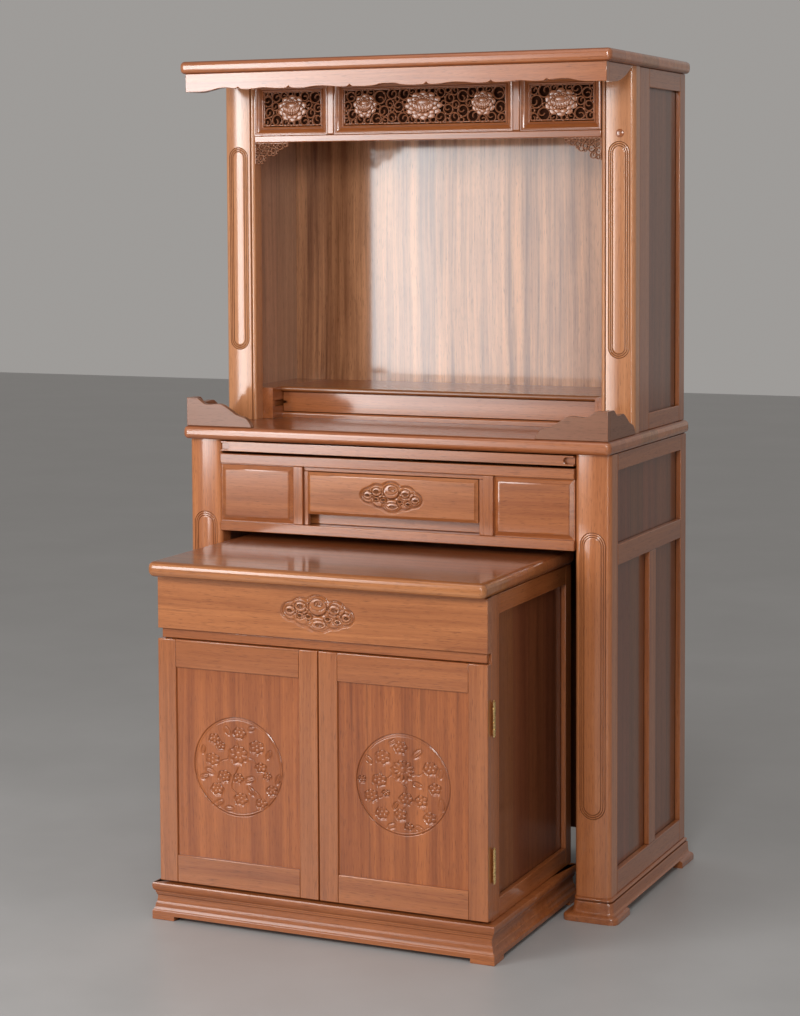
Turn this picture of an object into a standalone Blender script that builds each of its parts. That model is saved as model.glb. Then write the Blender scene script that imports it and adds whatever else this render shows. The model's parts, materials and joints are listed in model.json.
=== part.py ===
"""Household altar cabinet: a tall cabinet with an open niche above a table, and the low cabinet that nests under it.

Metres, +Z up, +Y to the back. The origin is on the floor, at the middle of the whole group.
"""
import math

import bmesh
import bpy
from mathutils import Vector

# Clearances: between touching pieces, and between sliding ones
GAP = 0.0003
SLIDE_GAP = 0.0015

# Tall cabinet: overall
TOTAL_HEIGHT = 1.930
BOARD_WIDTH = 1.068
BOARD_DEPTH = 0.586
TABLE_HEIGHT = 1.073
TABLE_THICKNESS = 0.031
CROWN_THICKNESS = 0.029
BOARD_CORNER = 0.012
BACK_OVERHANG = 0.008

# Canopy under the crown board
VALANCE_SETBACK = 0.009
VALANCE_THICKNESS = 0.018
VALANCE_INSET = 0.013
VALANCE_DROP = 0.0423
VALANCE_WAVE_RISE = 0.009
# One half of the wavy lower edge: share of the half width, share of the rise
VALANCE_WAVE = (
    (0.000, 0.92), (0.036, 0.86), (0.062, 0.50), (0.100, 0.32), (0.150, 0.36), (0.170, 0.42), (0.183, 0.97),
    (0.196, 0.38), (0.238, 0.37), (0.280, 0.62), (0.320, 0.76), (0.364, 0.63), (0.403, 0.36), (0.440, 0.34),
    (0.468, 0.46), (0.481, 0.97), (0.495, 0.45), (0.518, 0.36), (0.562, 0.47), (0.610, 0.68), (0.660, 0.44),
    (0.706, 0.38), (0.722, 0.50), (0.733, 1.00), (0.748, 0.64), (0.780, 0.82), (0.808, 0.89), (0.838, 0.73),
    (0.873, 0.30), (0.900, 0.07), (0.918, 0.00),
)
# The side boards' lower edge: share of the run to the post, share of the drop
RETURN_SWOOP = ((0.16, 0.00), (0.35, 0.07), (0.50, 0.22), (0.66, 0.44), (0.81, 0.73), (0.92, 1.00))

# Upper case
UPPER_INSET = 0.012
UPPER_SETBACK = 0.199
POST_WIDTH = 0.080
POST_DEPTH = 0.037
POST_ROUNDING = 0.012
POST_BEAD = 0.010
POST_GROOVE_HALF_WIDTH = 0.0265
POST_GROOVE_FROM_TABLE = 0.1695
POST_GROOVE_FROM_CROWN = 0.1673
UPPER_SIDE_THICKNESS = 0.022
UPPER_PANEL_RECESS = 0.011
UPPER_FRONT_STILE = 0.070
UPPER_BACK_STILE = 0.040
UPPER_TOP_RAIL = 0.043
UPPER_BOTTOM_RAIL = 0.038
NICHE_BACK_THICKNESS = 0.012
NICHE_BACK_INSET = 0.028

# Frieze
FRIEZE_SETBACK = 0.003
FRIEZE_THICKNESS = 0.020
FRIEZE_DROP = 0.1575
FRIEZE_RAIL_HEIGHT = 0.0168
FRIEZE_MUNTIN_WIDTH = 0.018
FRIEZE_MUNTIN_X = 0.2365
FRIEZE_MUNTIN_PROUD = 0.002
FRIEZE_BORDER = 0.0205
FRIEZE_BEVEL = 0.0165
FRIEZE_LOW_MARGIN = 0.0225
FRIEZE_TOP_MARGIN = 0.0352
FRET_THICKNESS = 0.008
FRET_INSET = 0.009
FRET_BORDER = 0.004
FRET_FLOWER_HEIGHT = 0.007
SPANDREL_LENGTH = 0.090
SPANDREL_DROP = 0.051
SPANDREL_THICKNESS = 0.010

# Niche floor and its sliding tray
LEDGE_HEIGHT = 0.076
LEDGE_SETBACK = 0.278
LEDGE_THICKNESS = 0.012
TRAY_SETBACK = 0.290
TRAY_FRONT_THICKNESS = 0.018
TRAY_BOARD_THICKNESS = 0.010
TRAY_BACK_GAP = 0.006
FOOT_RAIL_HEIGHT = 0.013
FOOT_RAIL_DEPTH = 0.030
FOOT_RAIL_PROUD = 0.003
CHEEK_OVERLAP = 0.027
CHEEK_GROOVE_HEIGHT = 0.015
CHEEK_GROOVE_RISE = 0.029
CHEEK_GROOVE_DEPTH = 0.008
CHEEK_GROOVE_END = 0.012

# Corner guards on the table
GUARD_INSET = 0.008
GUARD_THICKNESS = 0.014
GUARD_LENGTH = 0.1715
GUARD_HEIGHT = 0.066
# Upper edge: share of the length from the corner, share of the height
GUARD_EDGE = (
    (0.000, 1.00), (0.140, 1.00), (0.195, 0.94), (0.250, 0.83), (0.310, 0.78), (0.400, 0.79), (0.500, 0.81),
    (0.570, 0.76), (0.660, 0.62), (0.750, 0.47), (0.830, 0.39), (0.900, 0.34), (0.945, 0.25), (0.980, 0.12),
    (1.000, 0.02),
)

# Lower case
LOWER_INSET = 0.0065
COLUMN_SETBACK = 0.0206
COLUMN_WIDTH = 0.084
COLUMN_DEPTH = 0.047
COLUMN_ROUNDING = 0.012
COLUMN_GROOVE_HALF_WIDTH = 0.032
COLUMN_GROOVE_FROM_PLINTH = 0.1748
COLUMN_GROOVE_FROM_BOARD = 0.1720
LOWER_SIDE_THICKNESS = 0.030
LOWER_PANEL_RECESS = 0.013
LOWER_FRONT_STILE = 0.006
LOWER_BACK_STILE = 0.040
LOWER_MIDDLE_STILE = 0.048
LOWER_MIDDLE_STILE_Y = 0.322
LOWER_TOP_RAIL = 0.038
LOWER_MIDDLE_RAIL = 0.046
LOWER_MIDDLE_RAIL_DROP = 0.204
LOWER_BOTTOM_RAIL = 0.052
RECESS_BACK_THICKNESS = 0.010
RECESS_BACK_INSET = 0.012

# Apron between the columns, from the board downwards
APRON_SETBACK = 0.0180
APRON_THICKNESS = 0.022
PULLOUT_TOP_GAP = 0.004
PULLOUT_THICKNESS = 0.023
PULLOUT_UNDER_GAP = 0.006
PULLOUT_DEPTH = 0.420
NOTCH_RADIUS = 0.0075
NOTCH_REACH = 0.016
NOTCH_DEPTH = 0.010
APRON_TOP_RAIL = 0.0235
APRON_OPENING = 0.1365
APRON_BOTTOM_RAIL = 0.0228
APRON_STILE_WIDTH = 0.0245
APRON_STILE_OUTER = 0.2508
APRON_PANEL_SETBACK = 0.001
APRON_PANEL_THICKNESS = 0.018
APRON_PANEL_BEVEL = 0.014
APRON_PANEL_STEP = 0.007
RECESS_CEILING_THICKNESS = 0.010
DRAWER_RAIL_SETBACK = 0.037
DRAWER_RAIL_HEIGHT = 0.0250
DRAWER_RAIL_THICKNESS = 0.018
TABLE_DRAWER_SIDE_GAP = 0.013
TABLE_DRAWER_TOP_GAP = 0.011
DRAWER_LIP_SETBACK = 0.007
DRAWER_LIP_TENON = 0.002
TABLE_DRAWER_PROUD = 0.001
TABLE_DRAWER_BEVEL = 0.008
TABLE_DRAWER_STEP = 0.006
TABLE_DRAWER_DEPTH = 0.400
TABLE_CLOUD_WIDTH = 0.151
TABLE_CLOUD_HEIGHT = 0.068

# Plinths of the tall cabinet
PLINTH_HEIGHT = 0.052
PLINTH_FLARE = 0.023
PLINTH_LIP = 0.006
PLINTH_PAD_HEIGHT = 0.017
PLINTH_FRONT_PAD = 0.095
PLINTH_BACK_PAD = 0.090

# Small cabinet: how it nests, and its case
PULLED_OUT = 0.384
SMALL_SHIFT = -0.0085
NEST_CLEARANCE = 0.0315
NEST_HEADROOM = 0.0162
PAD_CLEARANCE = 0.0015
SMALL_TOP_OVERHANG = 0.008
SMALL_TOP_DEPTH = 0.550
SMALL_TOP_THICKNESS = 0.034
SMALL_TOP_CORNER = 0.016
SMALL_BACK_OVERHANG = 0.008
SMALL_FRONT_SETBACK = 0.035
SMALL_FRONT_THICKNESS = 0.022
SMALL_SIDE_THICKNESS = 0.024
SMALL_PANEL_RECESS = 0.012
SMALL_FRONT_STILE = 0.042
SMALL_BACK_STILE = 0.036
SMALL_SIDE_TOP_RAIL = 0.043
SMALL_SIDE_BOTTOM_RAIL = 0.042
SMALL_BACK_THICKNESS = 0.010
SMALL_BOTTOM_THICKNESS = 0.018
SMALL_SHELF_THICKNESS = 0.020
SMALL_SHELF_SETBACK = 0.010
SMALL_SHELF_INSET = 0.006
SMALL_DRAWER_REVEAL = 0.0015
SMALL_DRAWER_HEIGHT = 0.117
SMALL_DRAWER_ROUNDING = 0.002
SMALL_DRAWER_DEPTH = 0.400
SMALL_CLOUD_WIDTH = 0.170
SMALL_CLOUD_HEIGHT = 0.0715

# Doors of the small cabinet
DOOR_FOOT_GAP = 0.0055
DOOR_MEETING_GAP = 0.0030
DOOR_STILE = 0.0445
DOOR_RAIL = 0.0620
DOOR_PANEL_THICKNESS = 0.012
DOOR_PANEL_INSET = 0.005
MEDALLION_RADIUS = 0.112
MEDALLION_RIM = 0.005
MEDALLION_RELIEF = 0.0025
HINGE_RADIUS = 0.0040
HINGE_LENGTH = 0.072
HINGE_TIP = 0.004
HINGE_INSET = 0.1165
HINGE_CLEARANCE = 0.0006

# Base of the small cabinet
BASE_HEIGHT = 0.0830
BASE_OVERHANG = 0.0170
BASE_RAIL = 0.045
BASE_FOOT_LENGTH = 0.055
BASE_FOOT_HEIGHT = 0.0100

# Drawer boxes
BOX_WALL = 0.010
BOX_FLOOR = 0.006
BOX_TENON = 0.004
BOX_TOP_INSET = 0.009
BOX_LIFT = 0.001
TABLE_BOX_SIDE_INSET = 0.012

# Relief and cut lines
CLOUD_HEIGHT = 0.0025
RELIEF_ROOT = 0.001
GROOVE_WIDTH = 0.0045
GROOVE_DEPTH = 0.0025
GROOVE_SPACING = 0.0095
CUT_OVER = 0.010

# Places worked out from the sizes above: the tall cabinet
TABLE_FRONT = (PULLED_OUT - BOARD_DEPTH) / 2
CASE_BACK = TABLE_FRONT + BOARD_DEPTH - BACK_OVERHANG
BOARD_UNDER = TABLE_HEIGHT - TABLE_THICKNESS
CROWN_UNDER = TOTAL_HEIGHT - CROWN_THICKNESS
UPPER_HALF = BOARD_WIDTH / 2 - UPPER_INSET
POST_INNER = UPPER_HALF - POST_WIDTH
POST_FRONT = TABLE_FRONT + UPPER_SETBACK
POST_BACK = POST_FRONT + POST_DEPTH
FRIEZE_RAIL_LOW = CROWN_UNDER - FRIEZE_DROP
LEDGE_TOP = TABLE_HEIGHT + LEDGE_HEIGHT
LOWER_HALF = BOARD_WIDTH / 2 - LOWER_INSET
LOWER_INNER = LOWER_HALF - LOWER_SIDE_THICKNESS
COLUMN_INNER = LOWER_HALF - COLUMN_WIDTH
COLUMN_FRONT = TABLE_FRONT + COLUMN_SETBACK
COLUMN_BACK = COLUMN_FRONT + COLUMN_DEPTH
APRON_FRONT = TABLE_FRONT + APRON_SETBACK
APRON_TOP = BOARD_UNDER - PULLOUT_TOP_GAP - PULLOUT_THICKNESS - PULLOUT_UNDER_GAP
APRON_OPENING_TOP = APRON_TOP - APRON_TOP_RAIL
APRON_OPENING_LOW = APRON_OPENING_TOP - APRON_OPENING
APRON_LOW = APRON_OPENING_LOW - APRON_BOTTOM_RAIL
APRON_STILE_INNER = APRON_STILE_OUTER - APRON_STILE_WIDTH
TABLE_DRAWER_LOW = APRON_OPENING_LOW + GAP + DRAWER_RAIL_HEIGHT + SLIDE_GAP

# Places worked out from the sizes above: the small cabinet
SMALL_HALF = COLUMN_INNER - NEST_CLEARANCE - BASE_OVERHANG
SMALL_HEIGHT = APRON_LOW - NEST_HEADROOM
SMALL_UNDER = SMALL_HEIGHT - SMALL_TOP_THICKNESS
SMALL_TOP_FRONT = TABLE_FRONT - PULLED_OUT
SMALL_FRONT = SMALL_TOP_FRONT + SMALL_FRONT_SETBACK
SMALL_CASE_FRONT = SMALL_FRONT + SMALL_FRONT_THICKNESS + GAP
SMALL_CASE_BACK = SMALL_TOP_FRONT + SMALL_TOP_DEPTH - SMALL_BACK_OVERHANG
SMALL_DRAWER_TOP = SMALL_UNDER - SMALL_DRAWER_REVEAL
SMALL_DRAWER_LOW = SMALL_DRAWER_TOP - SMALL_DRAWER_HEIGHT
SMALL_SHELF_LOW = SMALL_DRAWER_LOW - SLIDE_GAP - SMALL_SHELF_THICKNESS
DOOR_HIGH = SMALL_SHELF_LOW - SLIDE_GAP
DOOR_LOW = BASE_HEIGHT + DOOR_FOOT_GAP

ARC_STEPS = 4


def wood(name, colour, roughness):
    """A lacquered wood with one base colour."""
    made = bpy.data.materials.new(name)
    made.use_nodes = True
    shader = made.node_tree.nodes["Principled BSDF"]
    shader.inputs["Base Color"].default_value = (*colour, 1.0)
    shader.inputs["Roughness"].default_value = roughness
    made.diffuse_color = (*colour, 1.0)
    return made


def brass(name):
    """The polished brass of the hinges."""
    made = wood(name, (0.78, 0.58, 0.25), 0.25)
    made.node_tree.nodes["Principled BSDF"].inputs["Metallic"].default_value = 1.0
    return made


def place(name, bm, material, parent=None, origin=(0, 0, 0)):
    """Turns a bmesh in world coordinates into a named object, with its own origin if it moves."""
    bmesh.ops.recalc_face_normals(bm, faces=bm.faces[:])
    for vert in bm.verts:
        vert.co -= Vector(origin)
    mesh = bpy.data.meshes.new(name)
    bm.to_mesh(mesh)
    bm.free()
    mesh.materials.append(material)
    made = bpy.data.objects.new(name, mesh)
    bpy.context.scene.collection.objects.link(made)
    made.location = origin
    if parent:
        made.parent = parent
        made.location = Vector(origin) - parent.location
    return made


def combine(target, operand_bm, operation="DIFFERENCE"):
    """Cuts a shape out of an object, or joins it on, with a hidden helper object and a Boolean."""
    bmesh.ops.recalc_face_normals(operand_bm, faces=operand_bm.faces[:])
    mesh = bpy.data.meshes.new(f"{target.name}_helper")
    operand_bm.to_mesh(mesh)
    operand_bm.free()
    helper = bpy.data.objects.new(f"{target.name}_helper", mesh)
    bpy.context.scene.collection.objects.link(helper)
    helper.hide_render = True
    helper.display_type = "WIRE"
    cut = target.modifiers.new(operation.lower(), "BOOLEAN")
    cut.operation = operation
    cut.solver = "EXACT"
    cut.object = helper


def add_box(bm, low, high):
    """Adds a box between two corners and returns its vertices."""
    made = bmesh.ops.create_cube(bm, size=1.0)["verts"]
    for vert in made:
        vert.co = Vector(lo + (hi - lo) * (c + 0.5) for lo, hi, c in zip(low, high, vert.co))
    return made


def box(low, high):
    """A bmesh with one box in it."""
    bm = bmesh.new()
    add_box(bm, low, high)
    return bm


def add_loft(bm, loops):
    """Joins closed loops of equal length in order and caps both ends."""
    rings = [[bm.verts.new(point) for point in loop] for loop in loops]
    count = len(rings[0])
    for near, far in zip(rings, rings[1:]):
        for i in range(count):
            j = (i + 1) % count
            bm.faces.new((near[i], near[j], far[j], far[i]))
    bm.faces.new(reversed(rings[0]))
    bm.faces.new(rings[-1])


def prism_y(outline, y_front, y_back):
    """Extrudes an outline of (x, z) points from the front to the back."""
    bm = bmesh.new()
    add_loft(bm, [[(x, y, z) for x, z in outline] for y in (y_front, y_back)])
    return bm


def prism_x(outline, x_low, x_high):
    """Extrudes an outline of (y, z) points along X."""
    bm = bmesh.new()
    add_loft(bm, [[(x, y, z) for y, z in outline] for x in (x_low, x_high)])
    return bm


def prism_z(outline, z_low, z_high):
    """Extrudes an outline of (x, y) points upwards."""
    bm = bmesh.new()
    add_loft(bm, [[(x, y, z) for x, y in outline] for z in (z_low, z_high)])
    return bm


def arc(centre, radius, start_deg, end_deg, steps=ARC_STEPS):
    """Points on an arc, both ends included."""
    angles = (math.radians(start_deg + (end_deg - start_deg) * i / steps) for i in range(steps + 1))
    return [(centre[0] + radius * math.cos(a), centre[1] + radius * math.sin(a)) for a in angles]


def bullnose_board(half_width, x_mid, y_front, y_back, z_low, z_high, corner):
    """A board with rounded corners in plan and a rounded edge all the way round."""
    bm = box((x_mid - half_width, y_front, z_low), (x_mid + half_width, y_back, z_high))
    upright = [e for e in bm.edges if abs(e.verts[0].co.z - e.verts[1].co.z) > GAP]
    bmesh.ops.bevel(bm, geom=upright, offset=corner, segments=3, profile=0.5, affect="EDGES")
    flat = [f for f in bm.faces if abs(f.normal.z) > 0.9]
    rim = list({e for f in flat for e in f.edges})
    nose = (z_high - z_low) * 0.42
    bmesh.ops.bevel(bm, geom=rim, offset=min(nose, corner * 0.9), segments=3, profile=0.5, affect="EDGES")
    return bm


def round_front(bm, y_front, height, both_edges):
    """Rounds a board's front edge: its upper arris only, or both."""
    top = max(v.co.z for v in bm.verts)
    lip = [e for e in bm.edges if all(abs(v.co.y - y_front) < GAP for v in e.verts)
           and abs(e.verts[0].co.z - e.verts[1].co.z) < GAP and (both_edges or e.verts[0].co.z > top - GAP)]
    bmesh.ops.bevel(bm, geom=lip, offset=height * 0.42, segments=3, profile=0.5, affect="EDGES")


def pierced(outline, holes, y_front, y_back):
    """A plate of (x, z) outline with holes through it, made by filling the outline and extruding it."""
    bm = bmesh.new()
    edges = []
    for loop in [outline, *holes]:
        verts = [bm.verts.new((x, y_back, z)) for x, z in loop]
        edges += [bm.edges.new((verts[i - 1], verts[i])) for i in range(len(verts))]
    bmesh.ops.triangle_fill(bm, edges=edges, use_beauty=True, normal=(0, -1, 0))
    grown = bmesh.ops.extrude_face_region(bm, geom=bm.faces[:])["geom"]
    for vert in (g for g in grown if isinstance(g, bmesh.types.BMVert)):
        vert.co.y = y_front
    return bm


def volute(centre, radius, start_deg, sweep_deg=250, steps=5):
    """A C-shaped hole: what it leaves standing reads as a scroll."""
    outer = arc(centre, radius, start_deg, start_deg + sweep_deg, steps)
    inner = arc(centre, radius * 0.42, start_deg + sweep_deg, start_deg, steps - 2)
    return outer + inner


def drop(centre, length, width, angle_deg, steps=6):
    """A tear-shaped hole with its point along the given angle."""
    turn = math.radians(angle_deg)
    points = []
    for i in range(steps):
        a = 2 * math.pi * i / steps
        along = length * 0.5 * math.cos(a)
        across = width * 0.5 * math.sin(a) * (1 - 0.45 * math.cos(a))
        points.append((centre[0] + along * math.cos(turn) - across * math.sin(turn),
                       centre[1] + along * math.sin(turn) + across * math.cos(turn)))
    return points


def scalloped(centre, radius_x, radius_z, lobes, depth, per_lobe=2, phase=0.0):
    """A closed outline with rounded lobes, such as a blossom's."""
    points = []
    for i in range(lobes * per_lobe):
        a = 2 * math.pi * i / (lobes * per_lobe)
        swell = 1 - depth * (0.5 - 0.5 * math.cos(lobes * a))
        points.append((centre[0] + radius_x * swell * math.cos(a + phase),
                       centre[1] + radius_z * swell * math.sin(a + phase)))
    return points


def add_dome(bm, outline, y_base, y_mid, y_top, waist=1.0, crown=0.55):
    """Adds a low relief shape that stands forward of a surface on an (x, z) outline."""
    cx = sum(p[0] for p in outline) / len(outline)
    cz = sum(p[1] for p in outline) / len(outline)

    def ring(share, y):
        return [(cx + (x - cx) * share, y, cz + (z - cz) * share) for x, z in outline]

    add_loft(bm, [ring(waist, y_base), ring(1.0, y_mid), ring(crown, y_top)])


def stadium(x_mid, half_width, z_low, z_high, steps=8):
    """The closed path of an upright slot with round ends, with the outward direction at each point."""
    path = []
    for centre_z, start in ((z_high - half_width, 0), (z_low + half_width, 180)):
        for i in range(steps + 1):
            a = math.radians(start + 180 * i / steps)
            path.append(((x_mid + half_width * math.cos(a), centre_z + half_width * math.sin(a)),
                         (math.cos(a), math.sin(a))))
    return path


def groove_ring(path, y_surface):
    """A V-shaped cutter along a closed path on a face that looks forward."""
    bm = bmesh.new()
    proud = GROOVE_DEPTH
    reach = GROOVE_WIDTH / 2 * (1 + proud / GROOVE_DEPTH)
    section = ((-reach, y_surface - proud), (reach, y_surface - proud), (0.0, y_surface + GROOVE_DEPTH))
    rings = []
    for (x, z), (nx, nz) in path:
        rings.append([bm.verts.new((x + nx * out, y, z + nz * out)) for out, y in section])
    for i, ring in enumerate(rings):
        following = rings[(i + 1) % len(rings)]
        for j in range(3):
            k = (j + 1) % 3
            bm.faces.new((ring[j], ring[k], following[k], following[j]))
    return bm


def mirrored(outline, side):
    """An outline given for the right, turned for the side it is wanted on."""
    return [(side * p[0], p[1]) for p in outline]


def post_outline(inner, outer, front, back, rounding, bead):
    """Plan of a front post for the right side: a rounded outer corner and a bead at the inner one."""
    points = [(inner, back), (outer, back)]
    points += arc((outer - rounding, front + rounding), rounding, 0, -90)
    if bead:
        half = bead / 2
        points += [(inner + bead + half * 0.4, front), (inner + bead, front + half * 0.6)]
        points += arc((inner + half, front + half), half, 0, -180)
    else:
        points += arc((inner + rounding, front + rounding), rounding, -90, -180)
    return points


def grooved_post(name, side, outline, z_low, z_high, groove, material):
    """An upright post with two nested slot-shaped lines cut in its face."""
    x_mid, half_width, groove_low, groove_high, front = groove
    post = place(name, prism_z(mirrored(outline, side), z_low, z_high), material)
    for inset in (0.0, GROOVE_SPACING):
        path = stadium(side * x_mid, half_width - inset, groove_low + inset, groove_high - inset)
        combine(post, groove_ring(path, front))
    return post


def crown(material):
    """The crown board and the shaped boards that hang under it."""
    half = BOARD_WIDTH / 2
    back = TABLE_FRONT + BOARD_DEPTH
    place("crown_board", bullnose_board(half, 0, TABLE_FRONT, back, CROWN_UNDER, TOTAL_HEIGHT, BOARD_CORNER),
          material)
    top = CROWN_UNDER - GAP
    low = top - VALANCE_DROP
    reach = half - VALANCE_INSET
    right = [(reach * share, low + VALANCE_WAVE_RISE * rise) for share, rise in VALANCE_WAVE]
    left = [(-x, z) for x, z in reversed(right[1:])]
    outline = [(reach, top), (-reach, top), (-reach, low), *left, *right, (reach, low)]
    front = TABLE_FRONT + VALANCE_SETBACK
    place("crown_valance", prism_y(outline, front, front + VALANCE_THICKNESS), material)
    start = front + VALANCE_THICKNESS + GAP
    run = POST_FRONT - GAP - start
    swoop = [(start + run * share, low + (top - low) * rise) for share, rise in RETURN_SWOOP]
    for side, tag in ((-1, "left"), (1, "right")):
        low_x, high_x = sorted((side * reach, side * (reach - VALANCE_THICKNESS)))
        place(f"crown_return_{tag}", prism_x([(start, top), (start, low), *swoop], low_x, high_x), material)


def side_wall(name, side, walls, pockets, material):
    """A framed side: a board with panels sunk into its outer face."""
    x_inner, x_outer, y_front, y_back, z_low, z_high, recess = walls
    low_x, high_x = sorted((side * x_inner, side * x_outer))
    wall = place(name, box((low_x, y_front, z_low), (high_x, y_back, z_high)), material)
    cutter = bmesh.new()
    cut_low, cut_high = sorted((side * (x_outer - recess), side * (x_outer + recess)))
    for y_start, y_end, z_start, z_end in pockets:
        add_box(cutter, (cut_low, y_start, z_start), (cut_high, y_end, z_end))
    combine(wall, cutter)


def upper_case(material, panel_material):
    """Posts, sides and back of the open niche."""
    z_low = TABLE_HEIGHT + GAP
    z_high = CROWN_UNDER - GAP
    outline = post_outline(POST_INNER, UPPER_HALF, POST_FRONT, POST_BACK, POST_ROUNDING, POST_BEAD)
    groove = ((POST_INNER + UPPER_HALF + POST_BEAD / 2) / 2, POST_GROOVE_HALF_WIDTH,
              TABLE_HEIGHT + POST_GROOVE_FROM_TABLE, CROWN_UNDER - POST_GROOVE_FROM_CROWN, POST_FRONT)
    side_front = POST_BACK + GAP
    walls = (UPPER_HALF - UPPER_SIDE_THICKNESS, UPPER_HALF, side_front, CASE_BACK, z_low, z_high,
             UPPER_PANEL_RECESS)
    pocket = (side_front + UPPER_FRONT_STILE, CASE_BACK - UPPER_BACK_STILE,
              z_low + UPPER_BOTTOM_RAIL, z_high - UPPER_TOP_RAIL)
    for side, tag in ((-1, "left"), (1, "right")):
        grooved_post(f"upper_post_{tag}", side, outline, z_low, z_high, groove, material)
        side_wall(f"upper_side_{tag}", side, walls, [pocket], material)
    back_y = CASE_BACK - NICHE_BACK_INSET
    reach = UPPER_HALF - UPPER_SIDE_THICKNESS - GAP
    place("niche_back", box((-reach, back_y - NICHE_BACK_THICKNESS, z_low), (reach, back_y, z_high)),
          panel_material)


def frieze_windows():
    """The three openings of the frieze as (x low, x high, z low, z high), left to right."""
    z_low = FRIEZE_RAIL_LOW + FRIEZE_RAIL_HEIGHT + FRIEZE_LOW_MARGIN
    z_high = CROWN_UNDER - FRIEZE_TOP_MARGIN
    margin = FRIEZE_BORDER + FRIEZE_MUNTIN_WIDTH / 2
    inner = FRIEZE_MUNTIN_X - margin
    side_low = FRIEZE_MUNTIN_X + margin
    side_high = POST_INNER - GAP - FRIEZE_BORDER
    return [(-side_high, -side_low, z_low, z_high), (-inner, inner, z_low, z_high),
            (side_low, side_high, z_low, z_high)]


def add_window_cutter(bm, window, y_front, y_back):
    """Adds a tapered block and a straight one behind it: a bevelled opening when cut."""
    x_low, x_high, z_low, z_high = window
    over = GROOVE_DEPTH

    def loop(grow, y):
        return [(x_low - grow, y, z_low - grow), (x_high + grow, y, z_low - grow),
                (x_high + grow, y, z_high + grow), (x_low - grow, y, z_high + grow)]

    add_loft(bm, [loop(FRIEZE_BEVEL * (1 + over / FRET_INSET), y_front - over),
                  loop(0, y_front + FRET_INSET - GAP), loop(0, y_back + over)])


def fret_holes(window, flowers):
    """Scroll-shaped holes in the spaces round the blossoms of one fretwork."""
    x_low, x_high, z_low, z_high = window
    z_mid = (z_low + z_high) / 2
    height = z_high - z_low
    holes = []
    ends = [x_low + FRET_BORDER, *[x for x, _ in flowers], x_high - FRET_BORDER]
    radii = [0.0, *[r for _, r in flowers], 0.0]
    for (start, clear_a), (end, clear_b) in zip(zip(ends, radii), zip(ends[1:], radii[1:])):
        a, b = start + clear_a, end - clear_b
        count = max(1, round((b - a) / (height * 0.36)))
        pitch = (b - a) / count
        for i in range(count):
            x = a + pitch * (i + 0.5)
            for up in (-1, 1):
                centre = (x, z_mid + up * height * 0.27)
                holes.append(volute(centre, min(pitch, height * 0.4) * 0.43, 40 + 180 * ((i + (up > 0)) % 2)))
            holes.append(drop((x, z_mid), pitch * 0.62, height * 0.12, 90 * (i % 2)))
    for x, radius in flowers:
        for up in (-1, 1):
            for across in (-1, 0, 1):
                centre = (x + across * radius * 0.72, z_mid + up * height * (0.41 - 0.03 * abs(across)))
                holes.append(drop(centre, radius * 0.44, height * 0.10, 0))
    return holes


def fret_flowers(x_low, x_high, height, tag):
    """Centre and radius of each blossom: three in the middle window, one in the others."""
    middle = (x_low + x_high) / 2
    if tag != "centre":
        return [(middle, height * 0.42)]
    side_step = (x_high - x_low) * 0.29
    return [(middle - side_step, height * 0.31), (middle, height * 0.44), (middle + side_step, height * 0.31)]


def fretwork(tag, window, front, carved):
    """One openwork panel with blossoms standing forward of it."""
    x_low, x_high, z_low, z_high = window
    outline = [(x_low + GAP, z_low + GAP), (x_high - GAP, z_low + GAP),
               (x_high - GAP, z_high - GAP), (x_low + GAP, z_high - GAP)]
    height = z_high - z_low
    z_mid = (z_low + z_high) / 2
    flowers = fret_flowers(x_low, x_high, height, tag)
    fret = place(f"fretwork_{tag}", pierced(outline, fret_holes(window, flowers), front, front + FRET_THICKNESS),
                 carved)
    blossoms = bmesh.new()
    for x, radius in flowers:
        petals = scalloped((x, z_mid), radius * 0.95, min(radius * 0.82, height * 0.34), 8, 0.16)
        add_dome(blossoms, petals, front + RELIEF_ROOT, front - FRET_FLOWER_HEIGHT * 0.55,
                 front - FRET_FLOWER_HEIGHT, waist=0.9, crown=0.5)
    combine(fret, blossoms, "UNION")


def frieze(material, carved):
    """The framed frieze between the posts, its rail, fretworks and corner brackets."""
    front = POST_FRONT + FRIEZE_SETBACK
    back = front + FRIEZE_THICKNESS
    reach = POST_INNER - GAP
    rail_top = FRIEZE_RAIL_LOW + FRIEZE_RAIL_HEIGHT
    z_high = CROWN_UNDER - GAP
    place("frieze_rail", box((-reach, front, FRIEZE_RAIL_LOW), (reach, back, rail_top)), material)
    frame = place("frieze_frame", box((-reach, front, rail_top + GAP), (reach, back, z_high)), material)
    cutter = bmesh.new()
    windows = frieze_windows()
    for window in windows:
        add_window_cutter(cutter, window, front, back)
    combine(frame, cutter)
    muntins = bmesh.new()
    for side in (-1, 1):
        middle = side * FRIEZE_MUNTIN_X
        add_box(muntins, (middle - FRIEZE_MUNTIN_WIDTH / 2, front - FRIEZE_MUNTIN_PROUD, rail_top + GAP),
                (middle + FRIEZE_MUNTIN_WIDTH / 2, front + RELIEF_ROOT, z_high))
    combine(frame, muntins, "UNION")
    for window, tag in zip(windows, ("left", "centre", "right")):
        fretwork(tag, window, front + FRET_INSET, carved)
    spandrels(carved, front, reach)


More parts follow.
